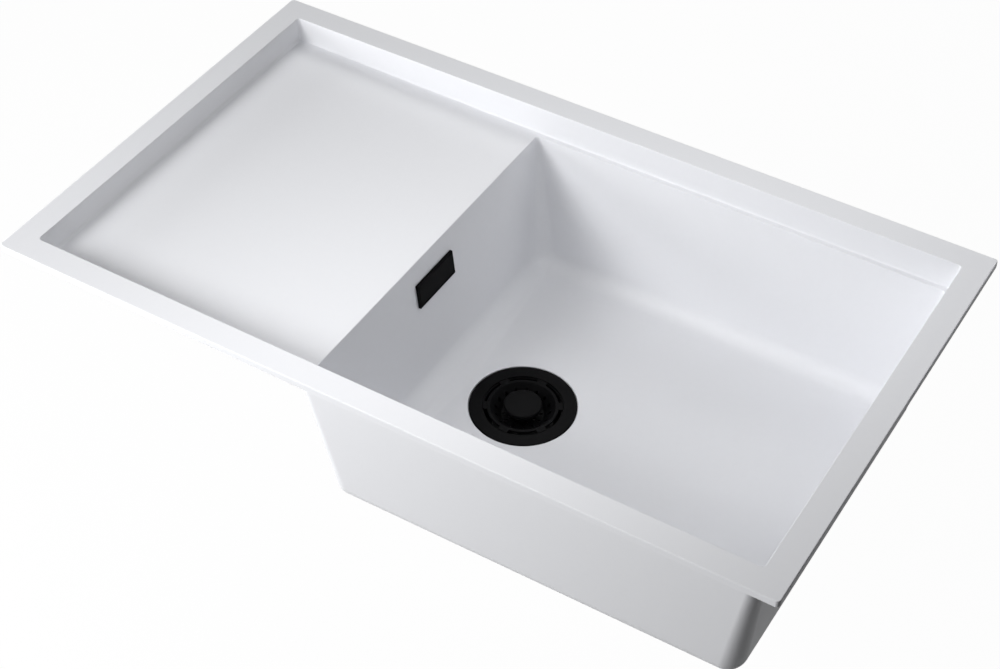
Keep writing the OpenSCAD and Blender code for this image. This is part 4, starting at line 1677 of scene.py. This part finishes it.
@dataclass
class Hose:
    """The ribbed hose from the overflow's housing down to the cup."""

    start: Place = (-110.541, 0, -84.94)
    end: Place = (-31, -5, -228)
    lean: float = 6.2
    bend: float = 45
    r: float = 12.5
    cuff_r: float = 12.2
    cuff_edge: float = 0.3
    cuff_end: float = 0.4
    bore: float = 9.5
    cuff: float = 25
    pitch: float = 4
    groove: float = 1.3
    wall: float = 1.3
    roundness: float = 0.6
    rib_steps: int = 8
    drop_steps: int = 20
    bend_steps: int = 30
    run_steps: int = 6

    def route(self) -> list[Place]:
        """Points along the hose's middle: down the wall, round the bend, and level to the cup.

        Returns:
            The points.
        """
        (x, y, z), (end_x, end_y, end_z) = self.start, self.end
        lean = math.radians(self.lean)
        sweep = math.pi / 2 - lean
        tangent = self.bend * math.tan(sweep / 2)
        knee = x + (z - end_z) * math.tan(lean)
        drop = (z - end_z) / math.cos(lean) - tangent
        points = [
            (x + step * math.sin(lean), y, z - step * math.cos(lean))
            for step in (drop * share / self.drop_steps for share in range(self.drop_steps))
        ]
        for step in range(self.bend_steps + 1):
            angle = math.pi + lean + sweep * step / self.bend_steps
            ease = (1 - math.cos(math.pi * step / self.bend_steps)) / 2
            points.append((
                knee + tangent + self.bend * math.cos(angle),
                y + (end_y - y) * ease,
                end_z + self.bend + self.bend * math.sin(angle),
            ))
        run, steps = end_x - knee - tangent, self.run_steps
        return points + [(end_x - run * (1 - step / steps), end_y, end_z) for step in range(1, steps + 1)]

    def profile(self, length: float) -> Outline:
        """Radius and place along the hose: plain ends, and round ribs between them, inside and out.

        Args:
            length: Length of the hose.

        Returns:
            The closed outline.
        """
        ribbed = length - 2 * self.cuff
        ribs = int(ribbed / self.pitch)
        near, far = self.cuff - self.cuff_end, length - self.cuff + self.cuff_end
        waves = []
        for step in range(self.rib_steps * ribs + 1):
            wave = (1 - math.cos(2 * math.pi * step / self.rib_steps)) / 2
            r = self.r - self.groove * (1 - wave ** self.roundness)
            waves.append((r, self.cuff + ribbed / ribs * step / self.rib_steps))
        r, edge = self.cuff_r, self.cuff_edge
        outside = [(r - edge, 0), (r, edge), (r, near), *waves]
        outside += [(r, far), (r, length - edge), (r - edge, length)]
        ribs_inside = [(r - self.wall, place) for r, place in waves]
        inside = [(self.bore, 0), (self.bore, near), *ribs_inside, (self.bore, far), (self.bore, length)]
        return outside + inside[::-1]

    def build(self) -> Solid:
        """Turns the hose straight, then bends it along its route.

        Returns:
            The solid.
        """
        route = [Vector(metres(point)) for point in self.route()]
        length = sum((b - a).length for a, b in zip(route, route[1:])) / MM
        body = turned("overflow_hose_dressed", self.profile(length), 48)
        data = bpy.data.curves.new("route", "CURVE")
        data.dimensions, data.twist_mode = "3D", "MINIMUM"
        spline = data.splines.new("POLY")
        spline.points.add(len(route) - 1)
        for point, place in zip(spline.points, route):
            point.co = (*place, 1)
        guide = bpy.data.objects.new("route", data)
        bpy.context.scene.collection.objects.link(guide)
        modifier = body.modifiers.new("bend", "CURVE")
        modifier.object, modifier.deform_axis = guide, "POS_Z"
        apply_modifiers(body)
        bpy.data.objects.remove(guide)
        return body

    def dress(self) -> None:
        """Builds the hose and gives it its finish and place."""
        add_piece(self.build(), HOSE, "sink", "overflow_hose", crease=60)


def add_piece(obj: Solid, finish: Finish, body: str, *nodes: str, crease: float = 38) -> None:
    """Smooths a piece, dresses it, and names its body and the solids that it stands for.

    Args:
        obj: The piece.
        finish: Its finish.
        body: The body that carries it.
        nodes: The solids that it replaces.
        crease: Angle in degrees over which an edge stays sharp.
    """
    finish_surface(obj, crease)
    finish.dress(obj)
    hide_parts(*nodes)
    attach(obj, body)
    LOG.info("%s: %d faces, on %s", obj.name, len(obj.data.polygons), body)


def dress_solids() -> None:
    """Gives the solids that stay as they are their finishes."""
    for finish, names in (
        (POST, ("strainer_post",)),
        (GREY_RUBBER, ("flange_gasket", "bowl_gasket", "overflow_gasket", "housing_washer", "cup_washer")),
        (BLACK_RUBBER, ("strainer_seal",)),
        (STEEL, ("centre_bolt", "overflow_screws", "post_clip")),
        (BRASS, ("thread_insert",)),
    ):
        for name in names:
            finish.dress(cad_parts[name])
            LOG.info("%s: kept, in %s", name, finish.name)


# Studio


def hang(name: str, data: bpy.types.ID, at: Place, facing: Vector) -> bpy.types.Object:
    """Puts a camera or a lamp in the scene.

    Args:
        name: Its name.
        data: The camera or lamp.
        at: Its place, in millimetres.
        facing: The way it looks.

    Returns:
        Its object.
    """
    obj = bpy.data.objects.new(name, data)
    bpy.context.scene.collection.objects.link(obj)
    obj.location = metres(at)
    obj.rotation_mode = "QUATERNION"
    obj.rotation_quaternion = facing.to_track_quat("-Z", "Y")
    return obj


@dataclass
class Studio:
    """Camera, lamps, world and floor. A lamp has a name, a place, the side of its face, watts and an aim."""

    camera: Place = (756.0, -1229.0, 1303.4)
    azimuth: float = 31.473
    elevation: float = 44.335
    lens: float = 70.13
    sensor: float = 36
    clip: tuple[float, float] = (0.05, 30)
    floor_z: float = -520
    floor_side: float = 30
    glow: float = 0.97
    fill: float = 0.01
    lamps: tuple[tuple[str, Place, float, float, Place], ...] = (
        ("front_high", (-850, -1472, 900), 700, 26.5, (0, 0, -50)),
        ("front_left_low", (-1472, -850, 150), 600, 11.7, (0, 0, -50)),
        ("front_under", (-750, -1300, -420), 700, 6.8, (0, 0, -50)),
        ("back_left", (-650, 1200, 1100), 600, 7.1, (0, 0, -50)),
        ("over_front", (-50, -200, 420), 250, 0.88, (-35, -100, -50)),
        ("over_bowl", (250, 150, 420), 250, 0.5, (175, 75, -50)),
        ("over_corner", (600, 500, 420), 250, 0.73, (420, 250, -50)),
    )

    def set_camera(self) -> None:
        """Sets the camera where the photograph was taken from."""
        data = bpy.data.cameras.new("camera")
        data.lens, data.sensor_width = self.lens, self.sensor
        data.clip_start, data.clip_end = self.clip
        a, e = math.radians(self.azimuth), math.radians(self.elevation)
        back = Vector((math.sin(a) * math.cos(e), -math.cos(a) * math.cos(e), math.sin(e)))
        bpy.context.scene.camera = hang("camera", data, self.camera, -back)

    def set_lamps(self) -> None:
        """Hangs the soft lamps, which no camera sees."""
        for name, at, side, watts, aim in self.lamps:
            data = bpy.data.lights.new(name, "AREA")
            data.shape, data.size, data.energy = "SQUARE", side * MM, watts
            hang(name, data, at, Vector(aim) - Vector(at)).visible_camera = False

    def seen(self, graph: Graph) -> Signal:
        """Tells the rays that the camera sees straight, in gloss or through glass.

        Args:
            graph: The node tree that asks.

        Returns:
            1 for those rays, and 0 for the others.
        """
        kinds = [
            graph.node("ShaderNodeLightPath", {}, {}, name)
            for name in ("Is Camera Ray", "Is Glossy Ray", "Is Transmission Ray")
        ]
        return graph.node(
            "ShaderNodeMath", {"operation": "MINIMUM"}, {0: kinds[0] + kinds[1] + kinds[2], 1: 1.0}
        )

    def set_world(self) -> None:
        """White where it is seen, and a dim cool fill for the light it gives."""
        world = bpy.data.worlds.new("studio")
        bpy.context.scene.world = world
        graph = Graph.of(world)
        fill = graph.node("ShaderNodeBackground", {}, {"Color": (0.93, 0.96, 1, 1), "Strength": self.fill})
        white = graph.node("ShaderNodeBackground", {}, {"Color": (1, 1, 1, 1), "Strength": 1})
        mixed = graph.mix(self.seen(graph), fill, white)
        graph.node("ShaderNodeOutputWorld", {}, {"Surface": mixed})

    def set_floor(self) -> None:
        """A plain pale floor that keeps the object's shadow, and is clear when seen from below."""
        bpy.ops.object.select_all(action="DESELECT")
        bpy.ops.mesh.primitive_plane_add(size=self.floor_side, location=(0, 0, self.floor_z * MM))
        floor = bpy.context.active_object
        floor.name = "floor"
        made = bpy.data.materials.new("floor")
        graph = Graph.of(made)
        lit, dim = (
            graph.node("ShaderNodeBsdfDiffuse", {}, {"Color": (grey, grey, grey, 1)}) for grey in (0.95, 0.25)
        )
        glow = graph.node("ShaderNodeEmission", {}, {"Color": (1, 1, 1, 1), "Strength": 1})
        top = graph.mix(self.seen(graph), dim, graph.mix(self.glow, lit, glow))
        below = graph.node("ShaderNodeNewGeometry", {}, {}, "Backfacing")
        clear = graph.node("ShaderNodeBsdfTransparent", {}, {})
        graph.node("ShaderNodeOutputMaterial", {}, {"Surface": graph.mix(below, top, clear)})
        floor.data.materials.append(made)

    def build(self) -> None:
        """Sets camera, world and floor, and hangs the lamps."""
        self.set_camera()
        bpy.context.scene.view_settings.view_transform = "Standard"
        self.set_world()
        self.set_floor()
        self.set_lamps()


def main() -> None:
    """Builds the studio and the object."""
    logging.basicConfig(level=logging.INFO, format="%(message)s")
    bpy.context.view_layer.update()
    Studio().build()
    dress_solids()
    for part in (Basin(), Waste(), Overflow(), Cup()):
        part.dress()
    Nut().dress("housing_nut", Overflow().at_outlet)
    Nut().dress("cup_nut", Cup().at_inlet)
    Hose().dress()


if __name__ == "__main__":
    main()
